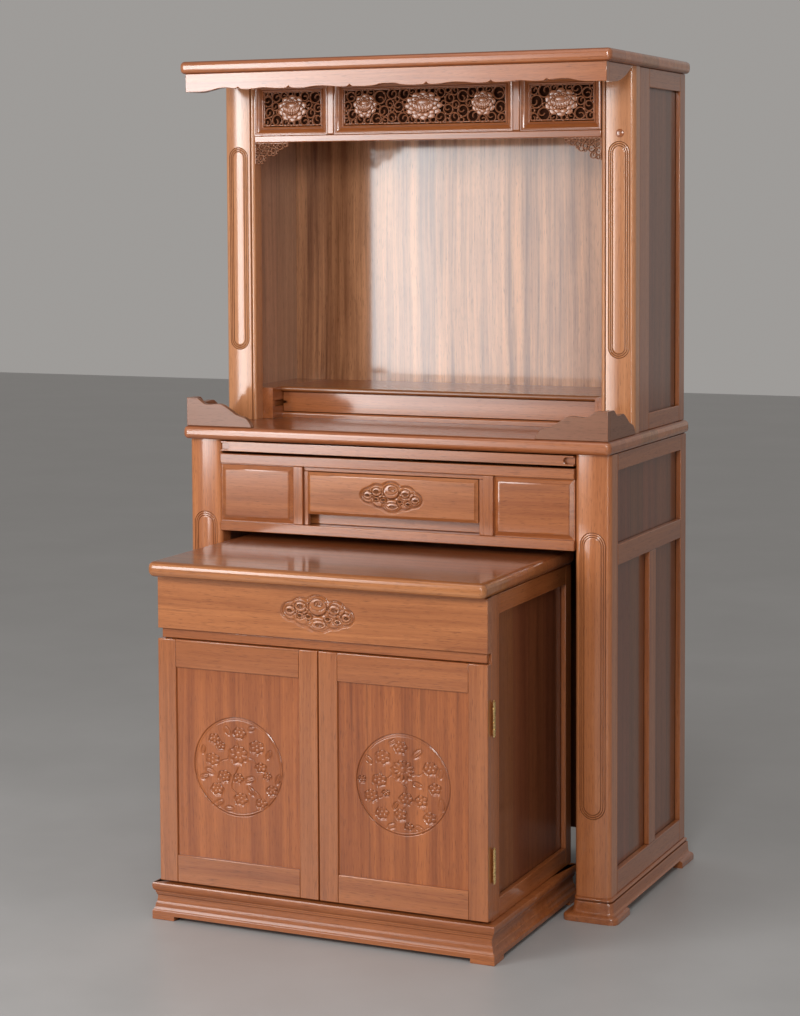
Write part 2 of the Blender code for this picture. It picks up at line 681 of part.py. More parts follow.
def spandrels(carved, front, reach):
    """The two openwork brackets in the niche's upper corners."""
    top = FRIEZE_RAIL_LOW - GAP
    long, drop_z = SPANDREL_LENGTH, SPANDREL_DROP
    edge = [(0.0, 1.0), (0.12, 0.97), (0.30, 0.88), (0.38, 0.70), (0.52, 0.62), (0.66, 0.60), (0.74, 0.42),
            (0.88, 0.26), (1.0, 0.06), (1.0, 0.0), (0.0, 0.0)]
    scrolls = [((0.20, 0.28), 0.125, 200), ((0.50, 0.30), 0.125, 20), ((0.18, 0.68), 0.105, 110)]
    for side, tag in ((-1, "left"), (1, "right")):
        outline = [(side * (reach - long * u), top - drop_z * v) for u, v in edge]
        holes = []
        for (u, v), radius, start in scrolls:
            turned = [(side * (reach - long * u - x), top - drop_z * v - z)
                      for x, z in volute((0, 0), long * radius, start)]
            holes.append(turned)
        holes.append([(side * (reach - long * 0.74 - x), top - drop_z * 0.2 - z)
                      for x, z in drop((0, 0), long * 0.16, drop_z * 0.16, 0)])
        place(f"spandrel_{tag}", pierced(outline, holes, front, front + SPANDREL_THICKNESS), carved)


def niche_base(material, slides):
    """The raised floor of the niche, the tray that slides under it and the blocks beside it."""
    table_top = TABLE_HEIGHT + GAP
    cheek_inner = POST_INNER - CHEEK_OVERLAP
    wall = UPPER_HALF - UPPER_SIDE_THICKNESS - GAP
    back = CASE_BACK - NICHE_BACK_INSET - NICHE_BACK_THICKNESS - GAP
    ledge_low = LEDGE_TOP - LEDGE_THICKNESS
    ledge_front = TABLE_FRONT + LEDGE_SETBACK
    block_front = POST_BACK + GAP
    groove_low = TABLE_HEIGHT + CHEEK_GROOVE_RISE
    for side, tag in ((-1, "left"), (1, "right")):
        low_x, high_x = sorted((side * cheek_inner, side * wall))
        cheek = place(f"niche_cheek_{tag}", box((low_x, block_front, table_top), (high_x, back, LEDGE_TOP)), material)
        cut = sorted((side * (cheek_inner - CHEEK_GROOVE_DEPTH), side * (cheek_inner + CHEEK_GROOVE_DEPTH)))
        combine(cheek, box((cut[0], block_front + CHEEK_GROOVE_END, groove_low),
                           (cut[1], back - CHEEK_GROOVE_END, groove_low + CHEEK_GROOVE_HEIGHT)))
    reach = cheek_inner - GAP
    ledge = box((-reach, ledge_front, ledge_low), (reach, back, LEDGE_TOP))
    round_front(ledge, ledge_front, LEDGE_THICKNESS, both_edges=True)
    place("niche_floor", ledge, material)
    rail_top = table_top + FOOT_RAIL_HEIGHT
    tray_front = TABLE_FRONT + TRAY_SETBACK
    foot_front = tray_front - FOOT_RAIL_PROUD
    foot = box((-reach, foot_front, table_top), (reach, foot_front + FOOT_RAIL_DEPTH, rail_top))
    round_front(foot, foot_front, FOOT_RAIL_HEIGHT, both_edges=False)
    place("niche_foot_rail", foot, material)
    tray_low = rail_top + SLIDE_GAP
    tray_top = ledge_low - SLIDE_GAP
    board_top = tray_low + TRAY_BOARD_THICKNESS
    front_back = tray_front + TRAY_FRONT_THICKNESS
    tray_back = back - TRAY_BACK_GAP
    profile = [(tray_front, tray_low), (tray_back, tray_low), (tray_back, board_top), (front_back, board_top),
               (front_back, tray_top), (tray_front, tray_top)]
    reach = cheek_inner - SLIDE_GAP
    place("niche_tray", prism_x(profile, -reach, reach), material, slides["niche_tray"])


def guards(material):
    """Low shaped boards round the table's front corners."""
    z_low = TABLE_HEIGHT + GAP
    front = TABLE_FRONT + GUARD_INSET
    outer = BOARD_WIDTH / 2 - GUARD_INSET
    side_start = front + GUARD_THICKNESS + GAP
    side_length = POST_FRONT - GAP - side_start
    for side, tag in ((-1, "left"), (1, "right")):
        edge = [(side * (outer - GUARD_LENGTH * u), z_low + GUARD_HEIGHT * v) for u, v in GUARD_EDGE]
        outline = [*edge, (side * (outer - GUARD_LENGTH), z_low), (side * outer, z_low)]
        place(f"guard_front_{tag}", prism_y(outline, front, front + GUARD_THICKNESS), material)
        edge = [(side_start + side_length * u, z_low + GUARD_HEIGHT * v) for u, v in GUARD_EDGE]
        outline = [*edge, (side_start + side_length, z_low), (side_start, z_low)]
        low_x, high_x = sorted((side * outer, side * (outer - GUARD_THICKNESS)))
        place(f"guard_side_{tag}", prism_x(outline, low_x, high_x), material)


def plinth(name, side, material):
    """A moulded foot under the column that runs back along the side, cut away between its pads."""

    def loop(grow, inward, z):
        points = [(COLUMN_INNER - inward, COLUMN_FRONT - grow), (LOWER_HALF + grow, COLUMN_FRONT - grow),
                  (LOWER_HALF + grow, CASE_BACK), (LOWER_INNER, CASE_BACK), (LOWER_INNER, COLUMN_BACK),
                  (COLUMN_INNER - inward, COLUMN_BACK)]
        return [(side * x, y, z) for x, y in points]

    flare, lip = PLINTH_FLARE, PLINTH_LIP
    pad = PLINTH_PAD_HEIGHT
    top = PLINTH_HEIGHT - GAP
    rise = top - pad
    inward = NEST_CLEARANCE - abs(SMALL_SHIFT) - PAD_CLEARANCE
    bm = bmesh.new()
    add_loft(bm, [loop(flare, inward, 0.0), loop(flare, inward, pad * 0.55),
                  loop(flare * 0.62, inward * 0.33, pad), loop(flare * 0.50, 0.0, pad + rise * 0.35),
                  loop(lip * 1.4, 0.0, pad + rise * 0.80), loop(lip, 0.0, pad + rise * 0.94),
                  loop(lip * 0.5, 0.0, top)])
    made = place(name, bm, material)
    cut_x = sorted((side * (LOWER_INNER - CUT_OVER), side * (LOWER_HALF + flare + CUT_OVER)))
    combine(made, box((cut_x[0], COLUMN_FRONT - flare + PLINTH_FRONT_PAD, -CUT_OVER),
                      (cut_x[1], CASE_BACK - PLINTH_BACK_PAD, pad)))


def lower_case(material, panel_material):
    """Table board, columns, framed sides, plinths and back of the lower part."""
    back = TABLE_FRONT + BOARD_DEPTH
    place("table_board", bullnose_board(BOARD_WIDTH / 2, 0, TABLE_FRONT, back, BOARD_UNDER, TABLE_HEIGHT,
                                        BOARD_CORNER), material)
    z_high = BOARD_UNDER - GAP
    outline = post_outline(COLUMN_INNER, LOWER_HALF, COLUMN_FRONT, COLUMN_BACK, COLUMN_ROUNDING, 0)
    groove = ((COLUMN_INNER + LOWER_HALF) / 2, COLUMN_GROOVE_HALF_WIDTH,
              PLINTH_HEIGHT + COLUMN_GROOVE_FROM_PLINTH, BOARD_UNDER - COLUMN_GROOVE_FROM_BOARD, COLUMN_FRONT)
    side_front = COLUMN_BACK + GAP
    walls = (LOWER_INNER, LOWER_HALF, side_front, CASE_BACK, PLINTH_HEIGHT, z_high, LOWER_PANEL_RECESS)
    first = side_front + LOWER_FRONT_STILE
    last = CASE_BACK - LOWER_BACK_STILE
    middle = TABLE_FRONT + LOWER_MIDDLE_STILE_Y
    tall_low = PLINTH_HEIGHT + LOWER_BOTTOM_RAIL
    rail_high = BOARD_UNDER - LOWER_MIDDLE_RAIL_DROP
    rail_low = rail_high - LOWER_MIDDLE_RAIL
    pockets = [(first, last, rail_high, z_high - LOWER_TOP_RAIL),
               (first, middle - LOWER_MIDDLE_STILE / 2, tall_low, rail_low),
               (middle + LOWER_MIDDLE_STILE / 2, last, tall_low, rail_low)]
    for side, tag in ((-1, "left"), (1, "right")):
        grooved_post(f"column_{tag}", side, outline, PLINTH_HEIGHT, z_high, groove, material)
        side_wall(f"lower_side_{tag}", side, walls, pockets, material)
        plinth(f"plinth_{tag}", side, material)
    back_y = CASE_BACK - RECESS_BACK_INSET
    reach = LOWER_INNER - GAP
    place("recess_back", box((-reach, back_y - RECESS_BACK_THICKNESS, PLINTH_HEIGHT), (reach, back_y, z_high)),
          panel_material)


def raised_panel(x_low, x_high, z_low, z_high, y_front, y_back, step, bevel):
    """A panel whose middle stands forward between sloped edges."""
    bm = bmesh.new()

    def loop(inset, y):
        return [(x_low + inset, y, z_low + inset), (x_high - inset, y, z_low + inset),
                (x_high - inset, y, z_high - inset), (x_low + inset, y, z_high - inset)]

    add_loft(bm, [loop(0, y_back), loop(0, y_front + step), loop(bevel * 0.75, y_front + step * 0.25),
                  loop(bevel, y_front)])
    return bm


def cloud_carving(x_mid, z_mid, width, height, y_surface):
    """A cluster of scrolled clouds in low relief, one plate with scroll-shaped hollows."""
    outline = scalloped((x_mid, z_mid), width / 2, height / 2, 8, 0.17, per_lobe=4)
    holes = [volute((x_mid, z_mid + height * 0.23), height * 0.17, 110)]
    for side in (-1, 1):
        start = 60 if side > 0 else 230
        holes.append(volute((x_mid + side * width * 0.17, z_mid + height * 0.02), height * 0.16, start))
        holes.append(volute((x_mid + side * width * 0.34, z_mid - height * 0.02), height * 0.15, start + 40))
    holes.append(drop((x_mid, z_mid - height * 0.26), width * 0.17, height * 0.16, 0))
    return pierced(outline, holes, y_surface - CLOUD_HEIGHT, y_surface + RELIEF_ROOT)


def drawer_box(half_width, x_mid, y_front, y_back, z_low, z_high):
    """An open-topped drawer box: a tall block with its top inset and pushed down."""
    bm = box((x_mid - half_width, y_front, z_low), (x_mid + half_width, y_back, z_high))
    top = [f for f in bm.faces if f.normal.z > 0.9]
    bmesh.ops.inset_region(bm, faces=top, thickness=BOX_WALL, use_even_offset=True)
    pushed = bmesh.ops.extrude_discrete_faces(bm, faces=top)["faces"]
    for vert in {v for f in pushed for v in f.verts}:
        vert.co.z = z_low + BOX_FLOOR
    return bm


def apron(material, slides):
    """Rails, stiles, raised panels, drawer and pull-out board between the columns."""
    reach = COLUMN_INNER - GAP
    back = APRON_FRONT + APRON_THICKNESS
    top_rail = place("apron_top_rail", box((-reach, APRON_FRONT, APRON_OPENING_TOP), (reach, back, APRON_TOP)),
                     material)
    lip_front, lip_back = APRON_FRONT + DRAWER_LIP_SETBACK, back - DRAWER_LIP_TENON
    lip_low = APRON_OPENING_TOP - TABLE_DRAWER_TOP_GAP + SLIDE_GAP
    lip_half = APRON_STILE_INNER - TABLE_DRAWER_SIDE_GAP + SLIDE_GAP
    combine(top_rail, box((-APRON_STILE_INNER + GAP, lip_front, lip_low),
                          (APRON_STILE_INNER - GAP, lip_back, APRON_OPENING_TOP + DRAWER_LIP_TENON)), "UNION")
    place("apron_bottom_rail", box((-reach, APRON_FRONT, APRON_LOW), (reach, back, APRON_OPENING_LOW)), material)
    z_low, z_high = APRON_OPENING_LOW + GAP, APRON_OPENING_TOP - GAP
    for side, tag in ((-1, "left"), (1, "right")):
        low_x, high_x = sorted((side * APRON_STILE_INNER, side * APRON_STILE_OUTER))
        stile = place(f"apron_stile_{tag}", box((low_x, APRON_FRONT, z_low), (high_x, back, z_high)), material)
        low_x, high_x = sorted((side * lip_half, side * (APRON_STILE_INNER + DRAWER_LIP_TENON)))
        combine(stile, box((low_x, lip_front, z_low + GAP), (high_x, lip_back, lip_low - GAP)), "UNION")
        low_x, high_x = sorted((side * (APRON_STILE_OUTER + GAP), side * reach))
        panel = raised_panel(low_x, high_x, z_low, z_high, APRON_FRONT + APRON_PANEL_SETBACK,
                             APRON_FRONT + APRON_PANEL_THICKNESS, APRON_PANEL_STEP, APRON_PANEL_BEVEL)
        place(f"apron_panel_{tag}", panel, material)
    rail_front = APRON_FRONT + DRAWER_RAIL_SETBACK
    place("drawer_rail", box((-reach, rail_front, z_low),
                             (reach, rail_front + DRAWER_RAIL_THICKNESS, z_low + DRAWER_RAIL_HEIGHT)), material)
    recess_ceiling(material, reach, back + GAP)
    table_drawer(material, slides)
    pullout_board(material, slides)


def recess_ceiling(material, reach, front):
    """The board over the open recess: narrow between the columns, wide behind them."""
    wide = LOWER_INNER - GAP
    shoulder = COLUMN_BACK + GAP
    back = CASE_BACK - RECESS_BACK_INSET - RECESS_BACK_THICKNESS - GAP
    outline = [(-reach, front), (reach, front), (reach, shoulder), (wide, shoulder), (wide, back),
               (-wide, back), (-wide, shoulder), (-reach, shoulder)]
    place("recess_ceiling", prism_z(outline, APRON_OPENING_LOW - RECESS_CEILING_THICKNESS, APRON_OPENING_LOW),
          material)


def table_drawer(material, slides):
    """The carved drawer in the middle of the apron."""
    front = APRON_FRONT - TABLE_DRAWER_PROUD
    front_back = front + APRON_PANEL_THICKNESS
    half = APRON_STILE_INNER - TABLE_DRAWER_SIDE_GAP
    low, high = TABLE_DRAWER_LOW, APRON_OPENING_TOP - TABLE_DRAWER_TOP_GAP
    panel = raised_panel(-half, half, low, high, front, front_back, TABLE_DRAWER_STEP, TABLE_DRAWER_BEVEL)
    drawer = place("table_drawer", panel, material, slides["table_drawer"])
    combine(drawer, drawer_box(half - TABLE_BOX_SIDE_INSET, 0, front_back - BOX_TENON,
                               front_back + TABLE_DRAWER_DEPTH, low + BOX_LIFT, high - BOX_TOP_INSET), "UNION")
    combine(drawer, cloud_carving(0, (low + high) / 2, TABLE_CLOUD_WIDTH, TABLE_CLOUD_HEIGHT, front), "UNION")


def pullout_board(material, slides):
    """The writing board over the apron, with a round-ended finger notch at each end."""
    high = BOARD_UNDER - PULLOUT_TOP_GAP
    low = high - PULLOUT_THICKNESS
    half = COLUMN_INNER - SLIDE_GAP
    board = place("pullout_board", box((-half, APRON_FRONT, low), (half, APRON_FRONT + PULLOUT_DEPTH, high)),
                  material, slides["pullout_board"])
    notches = bmesh.new()
    middle = (low + high) / 2
    for side in (-1, 1):
        tip = side * (half - NOTCH_REACH)
        outer = side * (half + CUT_OVER)
        outline = arc((tip, middle), NOTCH_RADIUS, 90, 90 + side * 180)
        outline += [(outer, middle - NOTCH_RADIUS), (outer, middle + NOTCH_RADIUS)]
        ends = (APRON_FRONT - CUT_OVER, APRON_FRONT + NOTCH_DEPTH)
        add_loft(notches, [[(x, y, z) for x, z in outline] for y in ends])
    combine(board, notches)


def small_case(material, panel_material):
    """Top, framed sides, back, floor, divider and moulded base of the small cabinet."""
    place("small_top", bullnose_board(SMALL_HALF + SMALL_TOP_OVERHANG, SMALL_SHIFT, SMALL_TOP_FRONT,
                                      SMALL_TOP_FRONT + SMALL_TOP_DEPTH, SMALL_UNDER, SMALL_HEIGHT,
                                      SMALL_TOP_CORNER), material)
    z_low = BASE_HEIGHT + GAP
    z_high = SMALL_UNDER - GAP
    inner = SMALL_HALF - SMALL_SIDE_THICKNESS
    for side, tag in ((-1, "left"), (1, "right")):
        low_x, high_x = sorted((SMALL_SHIFT + side * inner, SMALL_SHIFT + side * SMALL_HALF))
        wall = place(f"small_side_{tag}", box((low_x, SMALL_CASE_FRONT, z_low), (high_x, SMALL_CASE_BACK, z_high)),
                     material)
        cut = sorted((SMALL_SHIFT + side * (SMALL_HALF - SMALL_PANEL_RECESS),
                      SMALL_SHIFT + side * (SMALL_HALF + SMALL_PANEL_RECESS)))
        combine(wall, box((cut[0], SMALL_CASE_FRONT + SMALL_FRONT_STILE, z_low + SMALL_SIDE_BOTTOM_RAIL),
                          (cut[1], SMALL_CASE_BACK - SMALL_BACK_STILE, z_high - SMALL_SIDE_TOP_RAIL)))
    reach = inner - GAP
    left, right = SMALL_SHIFT - reach, SMALL_SHIFT + reach
    back_front = SMALL_CASE_BACK - SMALL_BACK_THICKNESS
    place("small_back", box((left, back_front, z_low), (right, SMALL_CASE_BACK, z_high)), panel_material)
    board_back = back_front - GAP
    place("small_bottom", box((left, SMALL_CASE_FRONT, z_low), (right, board_back, z_low + SMALL_BOTTOM_THICKNESS)),
          material)
    shelf_front = SMALL_FRONT + SMALL_SHELF_SETBACK
    shoulder = SMALL_CASE_FRONT - GAP
    wide = SMALL_HALF - SMALL_SHELF_INSET
    outline = [(-wide, shelf_front), (wide, shelf_front), (wide, shoulder), (reach, shoulder), (reach, board_back),
               (-reach, board_back), (-reach, shoulder), (-wide, shoulder)]
    place("small_divider", prism_z([(SMALL_SHIFT + x, y) for x, y in outline], SMALL_SHELF_LOW,
                                   SMALL_SHELF_LOW + SMALL_SHELF_THICKNESS), material)
    small_base(material)


def base_profile():
    """The base moulding as (outward, z) points: a round lip, a step, a hollow and a flared foot."""
    out, high = BASE_OVERHANG, BASE_HEIGHT
    lip = high * 0.20
    points = [(-BASE_RAIL, 0.0), (out, 0.0), (out, high * 0.20), (out * 0.88, high * 0.27), (out * 0.45, high * 0.34)]
    points += [(out * 0.40, high * 0.42), (out * 0.22, high * 0.48), (out * 0.12, high * 0.58), (out * 0.12, high * 0.66)]
    points += [(out * 0.42, high * 0.70), (out * 0.42, high * 0.76)]
    points += arc((out - lip / 2, high - lip / 2), lip / 2, -80, 90)
    points += [(-BASE_RAIL, high)]
    return points


def small_base(material):
    """The moulded base frame on four short feet."""
    profile = base_profile()
    y_front, y_back = SMALL_FRONT + BASE_OVERHANG / 2, SMALL_CASE_BACK - BASE_OVERHANG
    bm = bmesh.new()
    rings = []
    for side_x, at_back in ((-1, False), (1, False), (1, True), (-1, True)):
        ring = []
        for out, z in profile:
            y = y_back + out if at_back else y_front - out
            ring.append(bm.verts.new((SMALL_SHIFT + side_x * (SMALL_HALF + out), y, z)))
        rings.append(ring)
    count = len(profile)
    for ring, following in zip(rings, rings[1:] + rings[:1]):
        for i in range(count):
            j = (i + 1) % count
            bm.faces.new((ring[i], following[i], following[j], ring[j]))
    base = place("small_base", bm, material)
    edge_x = SMALL_HALF + BASE_OVERHANG
    front, back = y_front - BASE_OVERHANG, y_back + BASE_OVERHANG
    foot, over = BASE_FOOT_LENGTH, CUT_OVER
    outline = [(-edge_x + foot, front - over), (edge_x - foot, front - over), (edge_x - foot, front + foot),
               (edge_x + over, front + foot), (edge_x + over, back - foot), (edge_x - foot, back - foot),
               (edge_x - foot, back + over), (-edge_x + foot, back + over), (-edge_x + foot, back - foot),
               (-edge_x - over, back - foot), (-edge_x - over, front + foot), (-edge_x + foot, front + foot)]
    combine(base, prism_z([(SMALL_SHIFT + x, y) for x, y in outline], -over, BASE_FOOT_HEIGHT))


def small_drawer(material, slides):
    """The wide drawer over the doors, with its carved front."""
    bm = box((SMALL_SHIFT - SMALL_HALF, SMALL_FRONT, SMALL_DRAWER_LOW),
             (SMALL_SHIFT + SMALL_HALF, SMALL_FRONT + SMALL_FRONT_THICKNESS, SMALL_DRAWER_TOP))
    rim = [e for e in bm.edges if all(abs(v.co.y - SMALL_FRONT) < GAP for v in e.verts)]
    bmesh.ops.bevel(bm, geom=rim, offset=SMALL_DRAWER_ROUNDING, segments=1, affect="EDGES")
    drawer = place("small_drawer", bm, material, slides["small_drawer"])
    half = SMALL_HALF - SMALL_SIDE_THICKNESS - SLIDE_GAP
    combine(drawer, drawer_box(half, SMALL_SHIFT, SMALL_CASE_FRONT - BOX_TENON,
                               SMALL_CASE_FRONT + SMALL_DRAWER_DEPTH, SMALL_DRAWER_LOW + BOX_LIFT,
                               SMALL_DRAWER_TOP - BOX_TOP_INSET), "UNION")
    middle = (SMALL_DRAWER_LOW + SMALL_DRAWER_TOP) / 2
    combine(drawer, cloud_carving(SMALL_SHIFT, middle, SMALL_CLOUD_WIDTH, SMALL_CLOUD_HEIGHT, SMALL_FRONT), "UNION")


def medallion(x_mid, z_mid, y_surface, side):
    """A round low relief of blossoms and leaves inside a raised ring."""
    bm = bmesh.new()
    radius = MEDALLION_RADIUS
    base, top = y_surface + RELIEF_ROOT, y_surface - MEDALLION_RELIEF
    steps = 28

    def ring(r, y):
        angles = (2 * math.pi * i / steps for i in range(steps))
        return [(x_mid + r * math.cos(a), y, z_mid + r * math.sin(a)) for a in angles]

    inner = radius - MEDALLION_RIM
    rings = [[bm.verts.new(p) for p in ring(r, y)]
             for r, y in ((inner, base), (radius, base), (radius, top), (inner, top))]
    for near, far in zip(rings, rings[1:] + rings[:1]):
        for i in range(steps):
            j = (i + 1) % steps
            bm.faces.new((near[i], near[j], far[j], far[i]))
    blossoms = ((0.10, 0.16, 0.30), (-0.42, -0.30, 0.20), (0.46, -0.34, 0.17), (-0.34, 0.52, 0.16))
    leaves = ((0.56, 0.34, 30), (0.30, -0.66, 300), (-0.66, 0.12, 170), (-0.06, -0.44, 250), (0.14, 0.70, 80),
              (-0.10, -0.80, 200), (0.80, -0.02, 350))
    for u, v, size in blossoms:
        centre = (x_mid + side * u * radius, z_mid + v * radius)
        outline = scalloped(centre, size * radius, size * radius, 5, 0.28, per_lobe=2, phase=0.4)
        add_dome(bm, outline, base, y_surface - MEDALLION_RELIEF * 0.6, top, crown=0.45)
    for u, v, angle in leaves:
        centre = (x_mid + side * u * radius, z_mid + v * radius)
        turn = angle if side > 0 else 180 - angle
        outline = drop(centre, 0.30 * radius, 0.13 * radius, turn)
        add_dome(bm, outline, base, y_surface - MEDALLION_RELIEF * 0.5, top, crown=0.4)
    return bm


def hinge_barrel(x, y, z):
    """A turned barrel with a small knob at each end."""
    half = HINGE_LENGTH / 2
    profile = ((0.5, -half - HINGE_TIP), (0.7, -half), (1.0, -half), (1.0, half), (0.7, half), (0.5, half + HINGE_TIP))
    sides = 8
    bm = bmesh.new()
    add_loft(bm, [[(x + HINGE_RADIUS * r * math.cos(2 * math.pi * i / sides),
                    y + HINGE_RADIUS * r * math.sin(2 * math.pi * i / sides), z + dz) for i in range(sides)]
                  for r, dz in profile])
    return bm


def door(tag, side, material, carved, metal, pivot):
    """One framed door with its carved panel and two hinge barrels."""
    outer = SMALL_SHIFT + side * SMALL_HALF
    inner = SMALL_SHIFT + side * DOOR_MEETING_GAP / 2
    x_low, x_high = sorted((outer, inner))
    front, back = SMALL_FRONT, SMALL_FRONT + SMALL_FRONT_THICKNESS
    origin = pivot.location[:]
    frame = place(f"door_frame_{tag}", box((x_low, front, DOOR_LOW), (x_high, back, DOOR_HIGH)), material, pivot,
                  origin)
    hole = (x_low + DOOR_STILE, x_high - DOOR_STILE, DOOR_LOW + DOOR_RAIL, DOOR_HIGH - DOOR_RAIL)
    combine(frame, box((hole[0], front - CUT_OVER, hole[2]), (hole[1], back + CUT_OVER, hole[3])))
    panel_front = front + DOOR_PANEL_INSET
    panel = place(f"door_panel_{tag}",
                  box((hole[0] + GAP, panel_front, hole[2] + GAP),
                      (hole[1] - GAP, panel_front + DOOR_PANEL_THICKNESS, hole[3] - GAP)), carved, pivot, origin)
    centre_x, centre_z = (hole[0] + hole[1]) / 2, (hole[2] + hole[3]) / 2
    combine(panel, medallion(centre_x, centre_z, panel_front, side), "UNION")
    for level, z in (("upper", DOOR_HIGH - HINGE_INSET), ("lower", DOOR_LOW + HINGE_INSET)):
        hinge = place(f"hinge_{level}_{tag}", hinge_barrel(origin[0], origin[1], z), metal, pivot, origin)
        hinge.data.shade_smooth()
        hinge.data.set_sharp_from_angle(angle=math.radians(35))


def empty(name, location):
    """A guide on a joint's axis that the moving pieces hang from."""
    made = bpy.data.objects.new(name, None)
    made.location = location
    bpy.context.scene.collection.objects.link(made)
    return made


def slide_guides():
    """One guide for each piece that pulls straight out, at the middle of its front."""
    fronts = {"niche_tray": (0, TABLE_FRONT + TRAY_SETBACK, TABLE_HEIGHT),
              "pullout_board": (0, APRON_FRONT, BOARD_UNDER),
              "table_drawer": (0, APRON_FRONT, TABLE_DRAWER_LOW),
              "small_drawer": (SMALL_SHIFT, SMALL_FRONT, SMALL_DRAWER_LOW)}
    return {name: empty(f"{name}_slide", location) for name, location in fronts.items()}


def build():
    """Clears the scene and makes every piece."""
    for old in list(bpy.data.objects):
        bpy.data.objects.remove(old, do_unlink=True)
    frame_wood = wood("cabinet_wood", (0.46, 0.20, 0.11), 0.32)
    panel_wood = wood("panel_wood", (0.40, 0.17, 0.09), 0.36)
    carved_wood = wood("carved_wood", (0.42, 0.17, 0.10), 0.40)
    metal = brass("hinge_brass")
    slides = slide_guides()
    crown(frame_wood)
    upper_case(frame_wood, panel_wood)
    frieze(frame_wood, carved_wood)
    niche_base(frame_wood, slides)
    guards(frame_wood)
    lower_case(frame_wood, panel_wood)
    apron(frame_wood, slides)
    small_case(frame_wood, panel_wood)
    small_drawer(frame_wood, slides)
    for side, tag in ((-1, "left"), (1, "right")):
        axis_x = SMALL_SHIFT + side * (SMALL_HALF + HINGE_RADIUS + HINGE_CLEARANCE)
        pivot = empty(f"door_pivot_{tag}", (axis_x, SMALL_FRONT + SMALL_FRONT_THICKNESS, DOOR_LOW))
        door(tag, side, frame_wood, carved_wood, metal, pivot)


build()
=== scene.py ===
"""Household altar cabinet, dressed: lacquered hardwood joinery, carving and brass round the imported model.

Metres, +Z up, +Y to the back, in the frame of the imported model.
"""
import json
import logging
import math
from collections.abc import Callable, Iterable, Sequence
from dataclasses import dataclass, replace
from enum import Enum
from functools import cache

import bmesh
import bpy
import numpy as np
from bmesh.types import BMEdge, BMesh, BMVert
from mathutils import Matrix, Vector

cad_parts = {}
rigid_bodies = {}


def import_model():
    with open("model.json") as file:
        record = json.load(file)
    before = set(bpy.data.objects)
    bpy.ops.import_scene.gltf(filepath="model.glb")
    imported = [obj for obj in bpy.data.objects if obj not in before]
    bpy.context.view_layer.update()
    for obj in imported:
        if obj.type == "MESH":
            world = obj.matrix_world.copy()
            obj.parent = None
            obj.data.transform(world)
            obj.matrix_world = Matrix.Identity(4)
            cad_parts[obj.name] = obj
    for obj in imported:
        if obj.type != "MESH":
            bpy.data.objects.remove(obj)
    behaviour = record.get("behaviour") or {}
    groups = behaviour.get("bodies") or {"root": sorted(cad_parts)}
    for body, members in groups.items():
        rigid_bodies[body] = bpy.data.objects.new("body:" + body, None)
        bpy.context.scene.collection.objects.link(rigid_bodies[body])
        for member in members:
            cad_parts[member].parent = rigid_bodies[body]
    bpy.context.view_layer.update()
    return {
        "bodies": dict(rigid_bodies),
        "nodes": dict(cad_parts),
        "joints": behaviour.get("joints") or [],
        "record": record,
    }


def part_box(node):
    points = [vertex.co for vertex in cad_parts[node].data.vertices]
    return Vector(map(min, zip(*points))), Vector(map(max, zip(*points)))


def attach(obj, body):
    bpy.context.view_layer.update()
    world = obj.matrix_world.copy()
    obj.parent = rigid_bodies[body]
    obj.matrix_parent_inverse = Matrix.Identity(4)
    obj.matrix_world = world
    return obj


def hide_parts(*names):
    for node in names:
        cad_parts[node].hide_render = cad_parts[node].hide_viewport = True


log = logging.getLogger("altar_cabinet")

Point = tuple[float, float]
Three = tuple[float, float, float]
Four = tuple[float, float, float, float]
Colour = Three

SIDES = ((-1, "left"), (1, "right"))

# Small sizes that several pieces share
EASE = 0.0012
JOINT_GAP = 0.0003
# A face this square to an axis and this large is shaded flat
SQUARE = 0.9995
FLAT_AREA = 4e-6


class Grain(Enum):
    """Which way the fibres run, as the turn that lays a pattern's length along them."""

    ALONG_X = (0.0, 0.0, 0.0)
    ALONG_Y = (0.0, 0.0, -math.pi / 2)
    ALONG_Z = (0.0, math.pi / 2, 0.0)


class Plane(Enum):
    """The axis that an outline is extruded along."""

    SIDE = 0
    FRONT = 1
    PLAN = 2

    def at(self, point: Point, depth: float) -> Vector:
        """Puts a point of the outline in space at a depth along the axis."""
        placed = list(point)
        placed.insert(self.value, depth)
        return Vector(placed)


# Node groups that several finishes share


def new_group(name: str, inputs: dict[str, object], outputs: dict[str, str]) -> bpy.types.ShaderNodeTree:
    """Starts a shader node group with typed sockets.

    Args:
        name: The group's name.
        inputs: Default value of each input, whose type says the socket's type.
        outputs: Socket type of each output.

    Returns:
        The group, with its input and output nodes in it.
    """
    group = bpy.data.node_groups.new(name, "ShaderNodeTree")
    for label, value in inputs.items():
        if value is None:
            group.interface.new_socket(label, in_out="INPUT", socket_type="NodeSocketVector")
        elif isinstance(value, tuple):
            made = group.interface.new_socket(label, in_out="INPUT", socket_type="NodeSocketColor")
            made.default_value = (*value, 1.0)
        else:
            made = group.interface.new_socket(label, in_out="INPUT", socket_type="NodeSocketFloat")
            made.default_value = value
    for label, kind in outputs.items():
        group.interface.new_socket(label, in_out="OUTPUT", socket_type=kind)
    group.nodes.new("NodeGroupInput")
    group.nodes.new("NodeGroupOutput")
    return group


